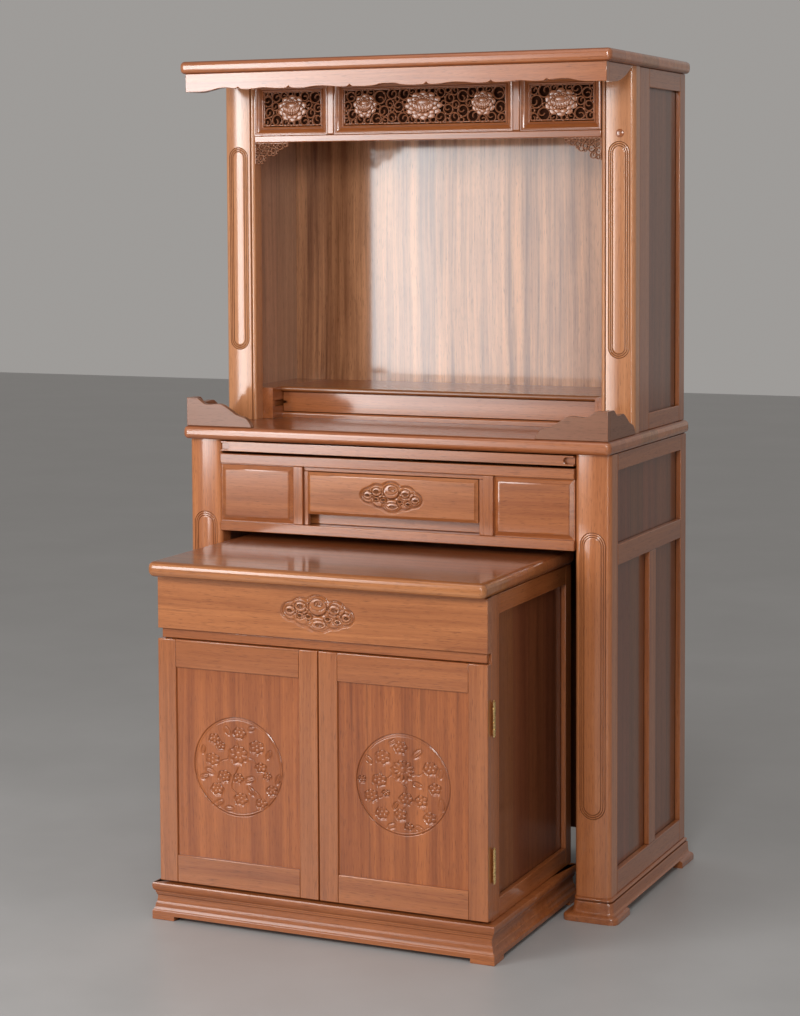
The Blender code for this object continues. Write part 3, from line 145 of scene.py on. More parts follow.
class Wiring:
    """Adds nodes to a tree and joins them, so that a pattern reads as a list of steps."""

    def __init__(self, tree: bpy.types.NodeTree) -> None:
        """Keeps the tree that the nodes go into."""
        self.tree = tree

    def node(self, kind: str, inputs: dict[object, object] | None = None,
             **settings: object) -> bpy.types.Node:
        """Adds a node.

        Args:
            kind: The node's type name.
            inputs: What goes into each socket: another socket, or a value.
            settings: Properties of the node.

        Returns:
            The new node.
        """
        made = self.tree.nodes.new(kind)
        for key, value in settings.items():
            setattr(made, key, value)
        for key, value in (inputs or {}).items():
            if isinstance(value, bpy.types.NodeSocket):
                self.tree.links.new(value, made.inputs[key])
            else:
                made.inputs[key].default_value = value
        return made

    def maths(self, operation: str, first: object, second: object = 0.0) -> bpy.types.NodeSocket:
        """Adds a Math node and returns its result."""
        return self.node("ShaderNodeMath", {0: first, 1: second}, operation=operation).outputs[0]

    def blend(self, factor: object, first: object, second: object) -> bpy.types.NodeSocket:
        """Mixes two colours and returns the result."""
        mixed = self.node("ShaderNodeMix", {0: factor, 6: first, 7: second}, data_type="RGBA")
        return mixed.outputs[2]

    def remap(self, value: object, low: float, high: float, to_low: float = 0.0,
              to_high: float = 1.0) -> object:
        """Stretches a range of a value onto another range and returns the result."""
        inputs = {0: value, 1: low, 2: high, 3: to_low, 4: to_high}
        return self.node("ShaderNodeMapRange", inputs, clamp=True).outputs[0]

    def noise(self, vector: object, scale: float, detail: float,
              roughness: float = 0.5) -> bpy.types.NodeSocket:
        """Adds a noise pattern and returns its value."""
        inputs = {"Vector": vector, "Scale": scale, "Detail": detail, "Roughness": roughness}
        return self.node("ShaderNodeTexNoise", inputs).outputs[0]

    def stretch(self, vector: object, scale: Three) -> bpy.types.NodeSocket:
        """Scales a vector along its axes and returns the result."""
        inputs = {0: vector, 1: scale}
        return self.node("ShaderNodeVectorMath", inputs, operation="MULTIPLY").outputs[0]


def fibre_group() -> bpy.types.ShaderNodeTree:
    """Wood fibres: ribbons of light and dark, fine streaks and open pores along X.

    Returns:
        The node group.
    """
    inputs = {"Vector": None, "Light": (0.5, 0.3, 0.2), "Dark": (0.2, 0.1, 0.05), "Pore": (0.08, 0.03, 0.02),
              "Ribbon": 0.5, "Streak": 0.5, "Pores": 0.5}
    outputs = {"Color": "NodeSocketColor", "Roughness": "NodeSocketFloat", "Height": "NodeSocketFloat"}
    group = new_group("wood_fibres", inputs, outputs)
    w = Wiring(group)
    given = group.nodes["Group Input"].outputs
    bend = w.node("ShaderNodeTexNoise", {"Vector": w.stretch(given["Vector"], (1.1, 3.0, 3.0)), "Scale": 1.0,
                                         "Detail": 2.0})
    centred = w.node("ShaderNodeVectorMath", {0: bend.outputs[1], 1: (0.5, 0.5, 0.5)}, operation="SUBTRACT")
    sway = w.stretch(centred.outputs[0], (0.0, 0.030, 0.030))
    bent = w.node("ShaderNodeVectorMath", {0: given["Vector"], 1: sway}, operation="ADD").outputs[0]
    ribbon = w.noise(w.stretch(bent, (0.9, 46.0, 46.0)), 1.0, 2.0, 0.45)
    streak = w.noise(w.stretch(bent, (3.5, 210.0, 210.0)), 1.0, 3.0, 0.6)
    chatoyance = w.noise(w.stretch(bent, (14.0, 30.0, 30.0)), 1.0, 2.0, 0.5)
    cloud = w.noise(given["Vector"], 2.3, 2.0)
    vein = w.noise(w.stretch(bent, (1.6, 95.0, 95.0)), 1.0, 2.0, 0.5)
    pore = w.noise(w.stretch(bent, (42.0, 900.0, 900.0)), 1.0, 1.0, 0.4)
    ribbon_mask = w.maths("MULTIPLY", w.remap(ribbon, 0.30, 0.70, -1.0, 1.0), given["Ribbon"])
    streak_mask = w.maths("MULTIPLY", w.remap(streak, 0.25, 0.75, -1.0, 1.0), given["Streak"])
    soft = w.maths("ADD", w.remap(cloud, 0.3, 0.7, -0.16, 0.16), w.remap(chatoyance, 0.3, 0.7, -0.10, 0.10))
    total = w.maths("ADD", w.maths("ADD", ribbon_mask, streak_mask), soft)
    share = w.maths("MULTIPLY_ADD", total, 0.5)
    share.node.inputs[2].default_value = 0.5
    share.node.use_clamp = True
    plain = w.blend(share, given["Dark"], given["Light"])
    pore_mask = w.maths("MULTIPLY", w.remap(pore, 0.60, 0.72), given["Pores"])
    vein_mask = w.maths("MULTIPLY", w.remap(vein, 0.60, 0.74), w.maths("MULTIPLY", given["Streak"], 0.7))
    veined = w.blend(vein_mask, plain, given["Pore"])
    coloured = w.blend(pore_mask, veined, given["Pore"])
    results = group.nodes["Group Output"].inputs
    group.links.new(coloured, results["Color"])
    group.links.new(w.remap(w.maths("ADD", streak, pore_mask), 0.2, 1.4, 0.0, 0.12), results["Roughness"])
    depth = w.maths("SUBTRACT", w.maths("MULTIPLY", streak, 0.25), pore_mask)
    group.links.new(depth, results["Height"])
    return group


def boards_group() -> bpy.types.ShaderNodeTree:
    """Boards glued edge to edge: each has its own tone and fibres, with a fine line at the joint.

    Returns:
        The node group. Its boards lie side by side along the second axis of the vector.
    """
    inputs = {"Vector": None, "Width": 0.08, "Offset": 0.0}
    outputs = {"Vector": "NodeSocketVector", "Tone": "NodeSocketFloat", "Joint": "NodeSocketFloat"}
    group = new_group("glued_boards", inputs, outputs)
    w = Wiring(group)
    given = group.nodes["Group Input"].outputs
    parts = w.node("ShaderNodeSeparateXYZ", {0: given["Vector"]}).outputs
    across = w.maths("DIVIDE", w.maths("ADD", parts[1], given["Offset"]), given["Width"])
    index = w.maths("FLOOR", across)
    inside = w.maths("SUBTRACT", across, index)
    tone = w.node("ShaderNodeTexWhiteNoise", {"W": index}, noise_dimensions="1D").outputs[0]
    shift = w.node("ShaderNodeCombineXYZ", {0: w.maths("MULTIPLY", tone, 3.7),
                                            2: w.maths("MULTIPLY", tone, 0.9)})
    moved = w.node("ShaderNodeVectorMath", {0: given["Vector"], 1: shift.outputs[0]},
                   operation="ADD").outputs[0]
    edge = w.maths("MINIMUM", inside, w.maths("SUBTRACT", 1.0, inside))
    from_joint = w.maths("MULTIPLY", edge, given["Width"])
    results = group.nodes["Group Output"].inputs
    group.links.new(moved, results["Vector"])
    group.links.new(w.maths("SUBTRACT", tone, 0.5), results["Tone"])
    group.links.new(w.remap(from_joint, 0.0003, 0.0009, 1.0, 0.0), results["Joint"])
    return group


def painted_shade_group() -> bpy.types.ShaderNodeTree:
    """Painted shade: the colour darkened in the corners of mouldings and carving, found by ambient occlusion.

    Returns:
        The node group.
    """
    inputs = {"Color": (0.5, 0.3, 0.2), "Stain": (0.10, 0.04, 0.02), "Amount": 0.5, "Reach": 0.01}
    outputs = {"Color": "NodeSocketColor", "Mask": "NodeSocketFloat"}
    group = new_group("settled_stain", inputs, outputs)
    w = Wiring(group)
    given = group.nodes["Group Input"].outputs
    # Ambient occlusion finds the corners and creases where shade falls; the colour is darkened there as
    # painted shade.
    closed = w.node("ShaderNodeAmbientOcclusion", {"Distance": given["Reach"]}, samples=6, only_local=True)
    mask = w.maths("MULTIPLY", w.remap(closed.outputs["AO"], 0.35, 0.95, 1.0, 0.0), given["Amount"])
    results = group.nodes["Group Output"].inputs
    group.links.new(w.blend(mask, given["Color"], given["Stain"]), results["Color"])
    group.links.new(mask, results["Mask"])
    return group


@dataclass(frozen=True)
class WoodFinish:
    """Lacquered hardwood of one grade.

    Args:
        name: Name of the finish, to which the grain's name is added.
        light: Colour of the light ribbons.
        dark: Colour of the dark ribbons.
        ribbon: How strongly the ribbons show.
        streak: How strongly the fine streaks show.
        roughness: Roughness under the lacquer.
        coat: Weight of the lacquer.
        coat_roughness: Roughness of the lacquer.
        board_width: Width of the glued boards, or nothing for one board.
        board_offset: Shift of the first joint.
        stain: How dark the painted shade in the corners is.
        corner_shade_reach: How far from a corner the painted shade reaches.
        tone: How far the boards differ in tone.
        specular: How strongly the wood under the lacquer reflects.
        coat_ior: Refractive index of the lacquer.
        grain: Which way the fibres run.
    """

    name: str
    light: Colour
    dark: Colour
    ribbon: float = 0.45
    streak: float = 0.5
    roughness: float = 0.42
    coat: float = 1.0
    coat_roughness: float = 0.13
    board_width: float = 0.0
    board_offset: float = 0.0
    stain: float = 0.45
    corner_shade_reach: float = 0.006
    tone: float = 0.14
    specular: float = 0.15
    coat_ior: float = 1.70
    grain: Grain = Grain.ALONG_X

    def build(self, groups: dict[str, bpy.types.ShaderNodeTree]) -> bpy.types.Material:
        """Makes the material.

        Args:
            groups: The shared node groups by name.

        Returns:
            The new material.
        """
        made = bpy.data.materials.new(f"{self.name}_{self.grain.name.lower()}")
        made.use_nodes = True
        w = Wiring(made.node_tree)
        shader = made.node_tree.nodes["Principled BSDF"]
        place = w.node("ShaderNodeTexCoord").outputs["Object"]
        turned = w.node("ShaderNodeMapping", {"Vector": place, "Rotation": self.grain.value}).outputs[0]
        vector, joint, tone = turned, None, None
        if self.board_width:
            inputs = {"Vector": turned, "Width": self.board_width, "Offset": self.board_offset}
            boards = w.node("ShaderNodeGroup", inputs, node_tree=groups["boards"]).outputs
            vector, tone, joint = boards["Vector"], boards["Tone"], boards["Joint"]
        inputs = {"Vector": vector, "Light": (*self.light, 1.0), "Dark": (*self.dark, 1.0),
                  "Pore": (*(c * 0.42 for c in self.dark), 1.0), "Ribbon": self.ribbon, "Streak": self.streak,
                  "Pores": 0.55}
        fibres = w.node("ShaderNodeGroup", inputs, node_tree=groups["fibres"])
        colour = fibres.outputs["Color"]
        height = fibres.outputs["Height"]
        if joint is not None:
            tint = w.maths("FRACT", w.maths("MULTIPLY_ADD", tone, 7.31))
            inputs = {"Color": colour, "Hue": w.remap(tint, 0.0, 1.0, 0.496, 0.505),
                      "Value": w.remap(tone, -0.5, 0.5, 1 - self.tone, 1 + self.tone)}
            toned = w.node("ShaderNodeHueSaturation", inputs).outputs[0]
            colour = w.blend(w.maths("MULTIPLY", joint, 0.65), toned, (*(c * 0.35 for c in self.dark), 1.0))
            height = w.maths("SUBTRACT", height, w.maths("MULTIPLY", joint, 2.0))
        # Painted shade: the colour goes towards a dark copy of the wood in corners and creases.
        inputs = {"Color": colour, "Stain": (*(c * 0.22 for c in self.dark), 1.0), "Amount": self.stain,
                  "Reach": self.corner_shade_reach}
        painted_shade = w.node("ShaderNodeGroup", inputs, node_tree=groups["painted_shade"])
        rough = w.maths("ADD", fibres.outputs["Roughness"], self.roughness - 0.05)
        rough = w.maths("ADD", rough, w.maths("MULTIPLY", painted_shade.outputs["Mask"], 0.2))
        bump = w.node("ShaderNodeBump", {"Height": height, "Strength": 0.12, "Distance": 0.0004})
        made.node_tree.links.new(painted_shade.outputs["Color"], shader.inputs["Base Color"])
        made.node_tree.links.new(rough, shader.inputs["Roughness"])
        made.node_tree.links.new(bump.outputs[0], shader.inputs["Normal"])
        shader.inputs["Specular IOR Level"].default_value = self.specular
        if self.coat:
            # Less lacquer in the same corners dulls their reflections: painted shade.
            wear_and_shade = w.maths("MULTIPLY_ADD", painted_shade.outputs["Mask"], -0.7 * self.coat)
            wear_and_shade.node.inputs[2].default_value = self.coat
            made.node_tree.links.new(wear_and_shade, shader.inputs["Coat Weight"])
        shader.inputs["Coat Roughness"].default_value = self.coat_roughness
        shader.inputs["Coat IOR"].default_value = self.coat_ior
        made.diffuse_color = (*self.light, 1.0)
        return made


class Grade(Enum):
    """The grades of wood in the cabinet."""

    CASE = WoodFinish("case_wood", (0.480, 0.158, 0.048), (0.280, 0.076, 0.020))
    POST = WoodFinish("post_wood", (0.680, 0.300, 0.130), (0.450, 0.165, 0.062), stain=0.6, corner_shade_reach=0.004)
    COLUMN = WoodFinish("column_wood", (0.630, 0.235, 0.086), (0.400, 0.125, 0.042), stain=0.6,
                        corner_shade_reach=0.004)
    BASE = WoodFinish("base_wood", (0.450, 0.146, 0.044), (0.270, 0.072, 0.020), coat=0.6, stain=0.9,
                      corner_shade_reach=0.007)
    FRONT = WoodFinish("front_wood", (0.540, 0.192, 0.062), (0.310, 0.090, 0.026), ribbon=0.6, stain=1.0,
                       corner_shade_reach=0.004)
    GUARD = WoodFinish("guard_wood", (0.300, 0.130, 0.072), (0.220, 0.088, 0.046), ribbon=0.3, streak=0.25,
                       coat=0.45, coat_roughness=0.25)
    TOP = WoodFinish("top_wood", (0.390, 0.120, 0.034), (0.205, 0.054, 0.014), board_width=0.118, stain=0.2,
                     coat=0.75)
    # Paler copy of the top wood for the upright rims of the tops: painted light where they face the lights.
    RIM = WoodFinish("lit_rim_wood", (0.560, 0.205, 0.070), (0.350, 0.105, 0.032), board_width=0.118, stain=0.3)
    FIELD = WoodFinish("field_wood", (0.490, 0.152, 0.040), (0.250, 0.064, 0.016), ribbon=0.65,
                       board_width=0.050, board_offset=0.013, tone=0.30, stain=0.9, corner_shade_reach=0.004,
                       coat=0.7)
    RIBBON = WoodFinish("ribbon_wood", (0.600, 0.290, 0.135), (0.195, 0.072, 0.030), ribbon=1.0, streak=0.5,
                        board_width=0.168, coat_roughness=0.09, stain=0.1)
    # Paler copy of the case wood for the inner faces of the sides: painted light on walls that stand in
    # shade.
    LIT_LINING = WoodFinish("lit_lining_wood", (0.640, 0.370, 0.230), (0.430, 0.230, 0.140), ribbon=0.6,
                        board_width=0.110)
    # Darker copy of the case wood for the side panels and backs, which face away from the lights: painted
    # shade.
    SHADE = WoodFinish("shade_wood", (0.270, 0.085, 0.032), (0.150, 0.042, 0.016), ribbon=0.5,
                       board_width=0.092, coat=0.8)
    CARVED = WoodFinish("carved_wood", (0.450, 0.175, 0.082), (0.290, 0.098, 0.040), ribbon=0.3, streak=0.3,
                        coat=0.9, coat_roughness=0.24, stain=1.0, corner_shade_reach=0.004)
    BLOSSOM = WoodFinish("blossom_wood", (0.490, 0.190, 0.086), (0.340, 0.118, 0.048), ribbon=0.3, streak=0.3,
                         coat_roughness=0.20, stain=1.0, corner_shade_reach=0.004)
    # Paler copy of the carved wood for the corner brackets: painted light on brackets that stand in the
    # frieze's shade.
    LIT_BRACKET = WoodFinish("lit_bracket_wood", (0.520, 0.245, 0.140), (0.360, 0.150, 0.080), ribbon=0.3, streak=0.3,
                         coat_roughness=0.20, stain=1.0, corner_shade_reach=0.004)
    # Near-black, with no lacquer and little sheen: painted shade behind the openwork.
    SHADOW_SHEET = WoodFinish("shadow_sheet_wood", (0.050, 0.017, 0.008), (0.028, 0.008, 0.004), coat=0.0,
                         roughness=0.8, specular=0.05)
    HIDDEN = WoodFinish("box_wood", (0.500, 0.270, 0.130), (0.340, 0.150, 0.065), coat=0.1, roughness=0.5,
                        stain=0.2)


@dataclass(frozen=True)
class BrassFinish:
    """Polished brass with a soft wear pattern."""

    colour: Colour = (0.83, 0.60, 0.28)
    wear_and_shade: Colour = (0.55, 0.36, 0.15)

    def build(self) -> bpy.types.Material:
        """Makes the material.

        Returns:
            The new material.
        """
        made = bpy.data.materials.new("hinge_brass_polished")
        made.use_nodes = True
        w = Wiring(made.node_tree)
        shader = made.node_tree.nodes["Principled BSDF"]
        place = w.node("ShaderNodeTexCoord").outputs["Object"]
        stretched = w.node("ShaderNodeMapping", {"Vector": place, "Scale": (900.0, 900.0, 90.0)}).outputs[0]
        scratch = w.noise(stretched, 1.0, 3.0)
        blotch = w.noise(place, 160.0, 2.0)
        colour = w.blend(w.remap(blotch, 0.4, 0.7), (*self.colour, 1.0), (*self.wear_and_shade, 1.0))
        bump = w.node("ShaderNodeBump", {"Height": scratch, "Strength": 0.1, "Distance": 0.0002})
        made.node_tree.links.new(colour, shader.inputs["Base Color"])
        made.node_tree.links.new(w.remap(scratch, 0.2, 0.8, 0.18, 0.36), shader.inputs["Roughness"])
        made.node_tree.links.new(bump.outputs[0], shader.inputs["Normal"])
        shader.inputs["Metallic"].default_value = 1.0
        return made


@cache
def wood_groups() -> dict[str, bpy.types.ShaderNodeTree]:
    """Builds the node groups that the grades of wood share, once."""
    return {"fibres": fibre_group(), "boards": boards_group(), "painted_shade": painted_shade_group()}


@cache
def wood(grade: Grade, grain: Grain) -> bpy.types.Material:
    """Returns the material of a grade with its fibres along an axis, made once."""
    return replace(grade.value, grain=grain).build(wood_groups())


# Shapes


def facing(bm: BMesh) -> BMesh:
    """Turns every face of a closed shape outwards."""
    bmesh.ops.recalc_face_normals(bm, faces=bm.faces[:])
    return bm


def soften(bm: BMesh, edges: Iterable[BMEdge], ease: float, segments: int = 2) -> None:
    """Rounds some edges by a small amount."""
    chosen = list(edges)
    if ease > 0 and chosen:
        bmesh.ops.bevel(bm, geom=chosen, offset=ease, offset_type="OFFSET", segments=segments, profile=0.5,
                        affect="EDGES", material=-1, clamp_overlap=True)


def board(low: Sequence[float], high: Sequence[float], ease: float = EASE, segments: int = 2) -> BMesh:
    """A squared board between two corners, with its arrises eased.

    Args:
        low: Lowest corner.
        high: Highest corner.
        ease: Radius of the edges.
        segments: Steps across each edge.

    Returns:
        The new bmesh.
    """
    bm = bmesh.new()
    bmesh.ops.create_cube(bm, size=1.0)
    size = Vector(high) - Vector(low)
    bmesh.ops.scale(bm, verts=bm.verts[:], vec=size)
    bmesh.ops.translate(bm, verts=bm.verts[:], vec=(Vector(high) + Vector(low)) / 2)
    soften(bm, bm.edges[:], min(ease, min(size) * 0.45), segments)
    return bm


def slab(outline: Sequence[Point], plane: Plane, start: float, end: float, ease: float = EASE,
         segments: int = 2) -> BMesh:
    """An outline extruded along an axis, with its rims eased.

    Args:
        outline: Corner points, in order.
        plane: The axis to extrude along.
        start: Where the first face lies on that axis.
        end: Where the other face lies.
        ease: Radius of both rims.
        segments: Steps across each rim.

    Returns:
        The new bmesh.
    """
    bm = bmesh.new()
    face = bm.faces.new([bm.verts.new(plane.at(p, start)) for p in outline])
    grown = bmesh.ops.extrude_face_region(bm, geom=[face], use_keep_orig=True)["geom"]
    verts = [g for g in grown if isinstance(g, BMVert)]
    bmesh.ops.translate(bm, verts=verts, vec=plane.at((0.0, 0.0), end - start))
    facing(bm)
    axis = plane.value
    rims = [e for e in bm.edges if abs(e.verts[0].co[axis] - e.verts[1].co[axis]) < 1e-7]
    soften(bm, rims, ease, segments)
    return bm


def closed_loop(bm: BMesh, places: Iterable[Sequence[float]]) -> list[BMEdge]:
    """Adds a closed loop of edges through places and returns the edges."""
    verts = [bm.verts.new(place) for place in places]
    return [bm.edges.new((verts[i - 1], verts[i])) for i in range(len(verts))]


def loft(loops: Sequence[Sequence[Vector]]) -> BMesh:
    """Bridges closed loops of equal length in order and closes both ends.

    Args:
        loops: The loops, each a list of places.

    Returns:
        The new bmesh.
    """
    bm = bmesh.new()
    rings = [closed_loop(bm, loop) for loop in loops]
    for near, far in zip(rings, rings[1:]):
        bmesh.ops.bridge_loops(bm, edges=near + far)
    bmesh.ops.holes_fill(bm, edges=rings[0] + rings[-1], sides=0)
    return facing(bm)


def arc(centre: Point, radius: float, start: float, end: float, steps: int) -> list[Point]:
    """Points on an arc between two angles in degrees, both ends included."""
    angles = [math.radians(start + (end - start) * i / steps) for i in range(steps + 1)]
    return [(centre[0] + radius * math.cos(a), centre[1] + radius * math.sin(a)) for a in angles]


def flowing(points: Sequence[Point], steps: int = 5) -> list[Point]:
    """A smooth line through points.

    Args:
        points: The points to pass through.
        steps: Points made for each span.

    Returns:
        The points of the line, both ends included.
    """
    line = []
    padded = [points[0], *points, points[-1]]
    for before, start, end, after in zip(padded, padded[1:], padded[2:], padded[3:]):
        for i in range(steps):
            t = i / steps
            line.append(tuple(0.5 * ((2 * b) + (c - a) * t + (2 * a - 5 * b + 4 * c - d) * t * t
                                     + (3 * b - a - 3 * c + d) * t ** 3) for a, b, c,
                              d in zip(before, start, end, after)))
    return [*line, tuple(points[-1])]


def turned(profile: Sequence[Point], centre: Vector, axis: Vector, steps: int = 20) -> BMesh:
    """A turned shape: a profile of (radius, height) points spun round an axis through a place.

    Args:
        profile: The profile, from one end of the axis to the other.
        centre: A place on the axis, at height zero.
        axis: The axis, of length one.
        steps: Steps round the axis.

    Returns:
        The new bmesh.
    """
    bm = bmesh.new()
    out = axis.orthogonal().normalized()
    verts = [bm.verts.new(centre + out * r + axis * h) for r, h in profile]
    edges = [bm.edges.new(pair) for pair in zip(verts, verts[1:])]
    bmesh.ops.spin(bm, geom=verts + edges, cent=centre, axis=axis, angle=math.tau, steps=steps,
                   use_merge=True)
    bmesh.ops.remove_doubles(bm, verts=bm.verts[:], dist=1e-6)
    return facing(bm)


def box_tray(low: Vector, high: Vector, wall: float, floor: float) -> list[BMesh]:
    """The boards of an open box: two sides, a back, a front and a floor."""
    return [board((low.x, low.y, low.z), (low.x + wall, high.y, high.z)),
            board((high.x - wall, low.y, low.z), (high.x, high.y, high.z)),
            board((low.x + wall, high.y - wall, low.z), (high.x - wall, high.y, high.z)),
            board((low.x + wall, low.y, low.z), (high.x - wall, low.y + wall, high.z)),
            board((low.x + wall, low.y + wall, low.z), (high.x - wall, high.y - wall, low.z + floor), 0.0)]


def join(whole: BMesh, part: BMesh) -> None:
    """Moves a part's bmesh into a larger one."""
    mesh = bpy.data.meshes.new("part")
    part.to_mesh(mesh)
    part.free()
    whole.from_mesh(mesh)
    bpy.data.meshes.remove(mesh)


class Form:
    """A piece while it is made: a mesh with the finish of each of its faces."""

    def __init__(self) -> None:
        """Starts with nothing."""
        self.bm = bmesh.new()
        self.finishes: list[bpy.types.Material] = []

    def add(self, part: BMesh, finish: bpy.types.Material, rim: bpy.types.Material | None = None) -> None:
        """Takes a part into the piece.

        Args:
            part: The part's bmesh, which is used up.
            finish: The finish of its faces.
            rim: The finish of the faces that don't lie level, where it differs.
        """
        for material in (finish, rim or finish):
            if material not in self.finishes:
                self.finishes.append(material)
        for face in part.faces:
            level = abs(face.normal.z) > 0.75
            face.material_index = self.finishes.index(finish if level or rim is None else rim)
        join(self.bm, part)

    def place(self, name: str, body: str, slot: str, nodes: Sequence[str] = (), sharp: float = 32.0) -> None:
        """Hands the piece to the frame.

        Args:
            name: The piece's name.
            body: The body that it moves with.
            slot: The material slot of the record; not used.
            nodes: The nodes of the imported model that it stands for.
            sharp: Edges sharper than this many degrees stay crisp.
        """
        mesh = bpy.data.meshes.new(name)
        self.bm.to_mesh(mesh)
        self.bm.free()
        for finish in self.finishes:
            mesh.materials.append(finish)
        mesh.shade_smooth()
        mesh.set_sharp_from_angle(angle=math.radians(sharp))
        for polygon in mesh.polygons:
            if max(map(abs, polygon.normal)) > SQUARE and polygon.area > FLAT_AREA:
                polygon.use_smooth = False
        made = bpy.data.objects.new(name, mesh)
        bpy.context.scene.collection.objects.link(made)
        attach(made, body)
        if nodes:
            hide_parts(*nodes)
        log.info("%s: %d faces", name, len(mesh.polygons))


def single(node: str, part: BMesh, finish: bpy.types.Material) -> None:
    """Places a piece of one part that stands for one node."""
    form = Form()
    form.add(part, finish)
    form.place(f"{node}_wood", "cabinet", "cabinet_wood", [node])


def plain(node: str, grain: Grain, ease: float = EASE, segments: int = 2) -> None:
    """Places a plain board that fills the box of its node."""
    single(node, board(*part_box(node), ease, segments), wood(Grade.CASE, grain))


def place_top(node: str, part: BMesh) -> None:
    """Places a top board whose upright rim faces take a paler copy of its wood: painted light where they face
    the lights.
    """
    part.normal_update()
    form = Form()
    form.add(part, wood(Grade.TOP, Grain.ALONG_X), wood(Grade.RIM, Grain.ALONG_X))
    form.place(f"{node}_wood", "cabinet", "cabinet_wood", [node])


# The cabinet's pieces


@dataclass
class Crown:
    """The crown board and the canopy boards under it."""

    corner: float = 0.012
    nose: float = 0.0105
    # Runs of the canopy's lower edge: share of the half width, share of the rise
    wave: tuple[tuple[Point, ...], ...] = (((0.000, 0.92), (0.036, 0.86), (0.062, 0.50), (0.100, 0.32),
                                            (0.150, 0.36), (0.170, 0.42), (0.183, 0.97)),
                                           ((0.183, 0.97), (0.196, 0.38), (0.238, 0.37), (0.280, 0.62),
                                            (0.320, 0.76), (0.364, 0.63), (0.403, 0.36), (0.440, 0.34),
                                            (0.468, 0.46), (0.481, 0.97)),
                                           ((0.481, 0.97), (0.495, 0.45), (0.518, 0.36), (0.562, 0.47),
                                            (0.610, 0.68), (0.660, 0.44), (0.706, 0.38), (0.722, 0.50),
                                            (0.733, 1.00)),
                                           ((0.733, 1.00), (0.748, 0.64), (0.780, 0.82), (0.808, 0.89),
                                            (0.838, 0.73), (0.873, 0.30), (0.900, 0.07), (0.918, 0.00)))
    wave_rise: float = 0.009
    # The side boards' lower edge: share of the run to the post, share of the drop
    swoop: tuple[Point, ...] = ((0.16, 0.00), (0.35, 0.07), (0.50, 0.22), (0.66, 0.44), (0.81, 0.73),
                                (0.92, 1.00))

    def build(self) -> None:
        """Makes every piece of the crown."""
        low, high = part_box("crown_board")
        place_top("crown_board", rounded_top(low, high, self.corner, self.nose))
        self.canopy()
        for tag in ("left", "right"):
            self.canopy_return(tag)

    def canopy(self) -> None:
        """The wavy board along the front."""
        low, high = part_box("crown_valance")
        right = []
        for run in self.wave:
            right += flowing([(high.x * x, low.z + self.wave_rise * z) for x, z in run], 3)[:-1]
        right.append((high.x * self.wave[-1][-1][0], low.z))
        left = [(-x, z) for x, z in reversed(right[1:])]
        outline = [(high.x, high.z), (low.x, high.z), (low.x, low.z), *left, *right, (high.x, low.z)]
        single("crown_valance", slab(outline, Plane.FRONT, low.y, high.y, 0.001),
               wood(Grade.CASE, Grain.ALONG_X))

    def canopy_return(self, tag: str) -> None:
        """The board along one side, whose end sweeps up to the crown."""
        node = f"crown_return_{tag}"
        low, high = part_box(node)
        last = self.swoop[-1][0]
        sweep = flowing([(low.y + (high.y - low.y) * y / last, low.z + (high.z - low.z) * z) for y,
                         z in self.swoop])
        single(node, slab([(low.y, high.z), (low.y, low.z), *sweep], Plane.SIDE, low.x, high.x),
               wood(Grade.CASE, Grain.ALONG_Y))


def rounded_top(low: Vector, high: Vector, corner: float, nose: float) -> BMesh:
    """A board with rounded corners in plan and a rounded edge all the way round.

    Args:
        low: Lowest corner.
        high: Highest corner.
        corner: Radius of the corners in plan.
        nose: Radius of the upper and lower rim.

    Returns:
        The new bmesh.
    """
    bm = board(low, high, 0.0)
    upright = [e for e in bm.edges if abs(e.verts[0].co.z - e.verts[1].co.z) > nose]
    soften(bm, upright, corner, 7)
    rims = [e for e in bm.edges if abs(e.verts[0].co.z - e.verts[1].co.z) < 1e-7]
    soften(bm, rims, nose, 6)
    return bm


@dataclass
class SlotMoulding:
    """Nested lines cut in the shape of an upright slot with round ends.

    Args:
        half_width: Half the width of the outer line.
        steps: Steps round each end.
    """

    half_width: float
    steps: int = 20
    depth: float = 0.0023
    lines: int = 3

    def profile(self) -> list[Point]:
        """Insets and rises from the outer line inwards, in order."""
        cut = [(0.0010, -self.depth), (0.0008, self.depth * 0.64)]
        between = [(0.0008, self.depth * 0.27), (0.0021, self.depth * 0.09)]
        return (cut + between) * self.lines

    def cut_into(self, bm: BMesh, corners: Four, centre: float, low: float, high: float, y: float) -> None:
        """Adds a flat front with the moulding in it.

        Args:
            bm: The bmesh that takes the front.
            corners: Left, right, bottom and top of the flat front.
            centre: Middle of the slot.
            low: Bottom of the slot.
            high: Top of the slot.
            y: Depth of the front.
        """
        left, right, bottom, top = corners
        r = self.half_width
        slot = arc((centre, high - r), r, 0, 180, self.steps) + arc((centre, low + r), r, 180, 360,
                                                                    self.steps)
        frame = [(left, bottom), (right, bottom), (right, top), (left, top)]
        edges = []
        for loop in (frame, slot):
            verts = [bm.verts.new((x, y, z)) for x, z in loop]
            edges.append([bm.edges.new((verts[i - 1], verts[i])) for i in range(len(verts))])
        bmesh.ops.triangle_fill(bm, edges=edges[0] + edges[1], use_beauty=True, normal=(0, -1, 0))
        bm.verts.ensure_lookup_table()
        face = bm.faces.new(verts)
        face.normal_update()
        if face.normal.y > 0:
            face.normal_flip()
        for thickness, rise in self.profile():
            bmesh.ops.inset_region(bm, faces=[face], thickness=thickness, depth=rise, use_even_offset=True)


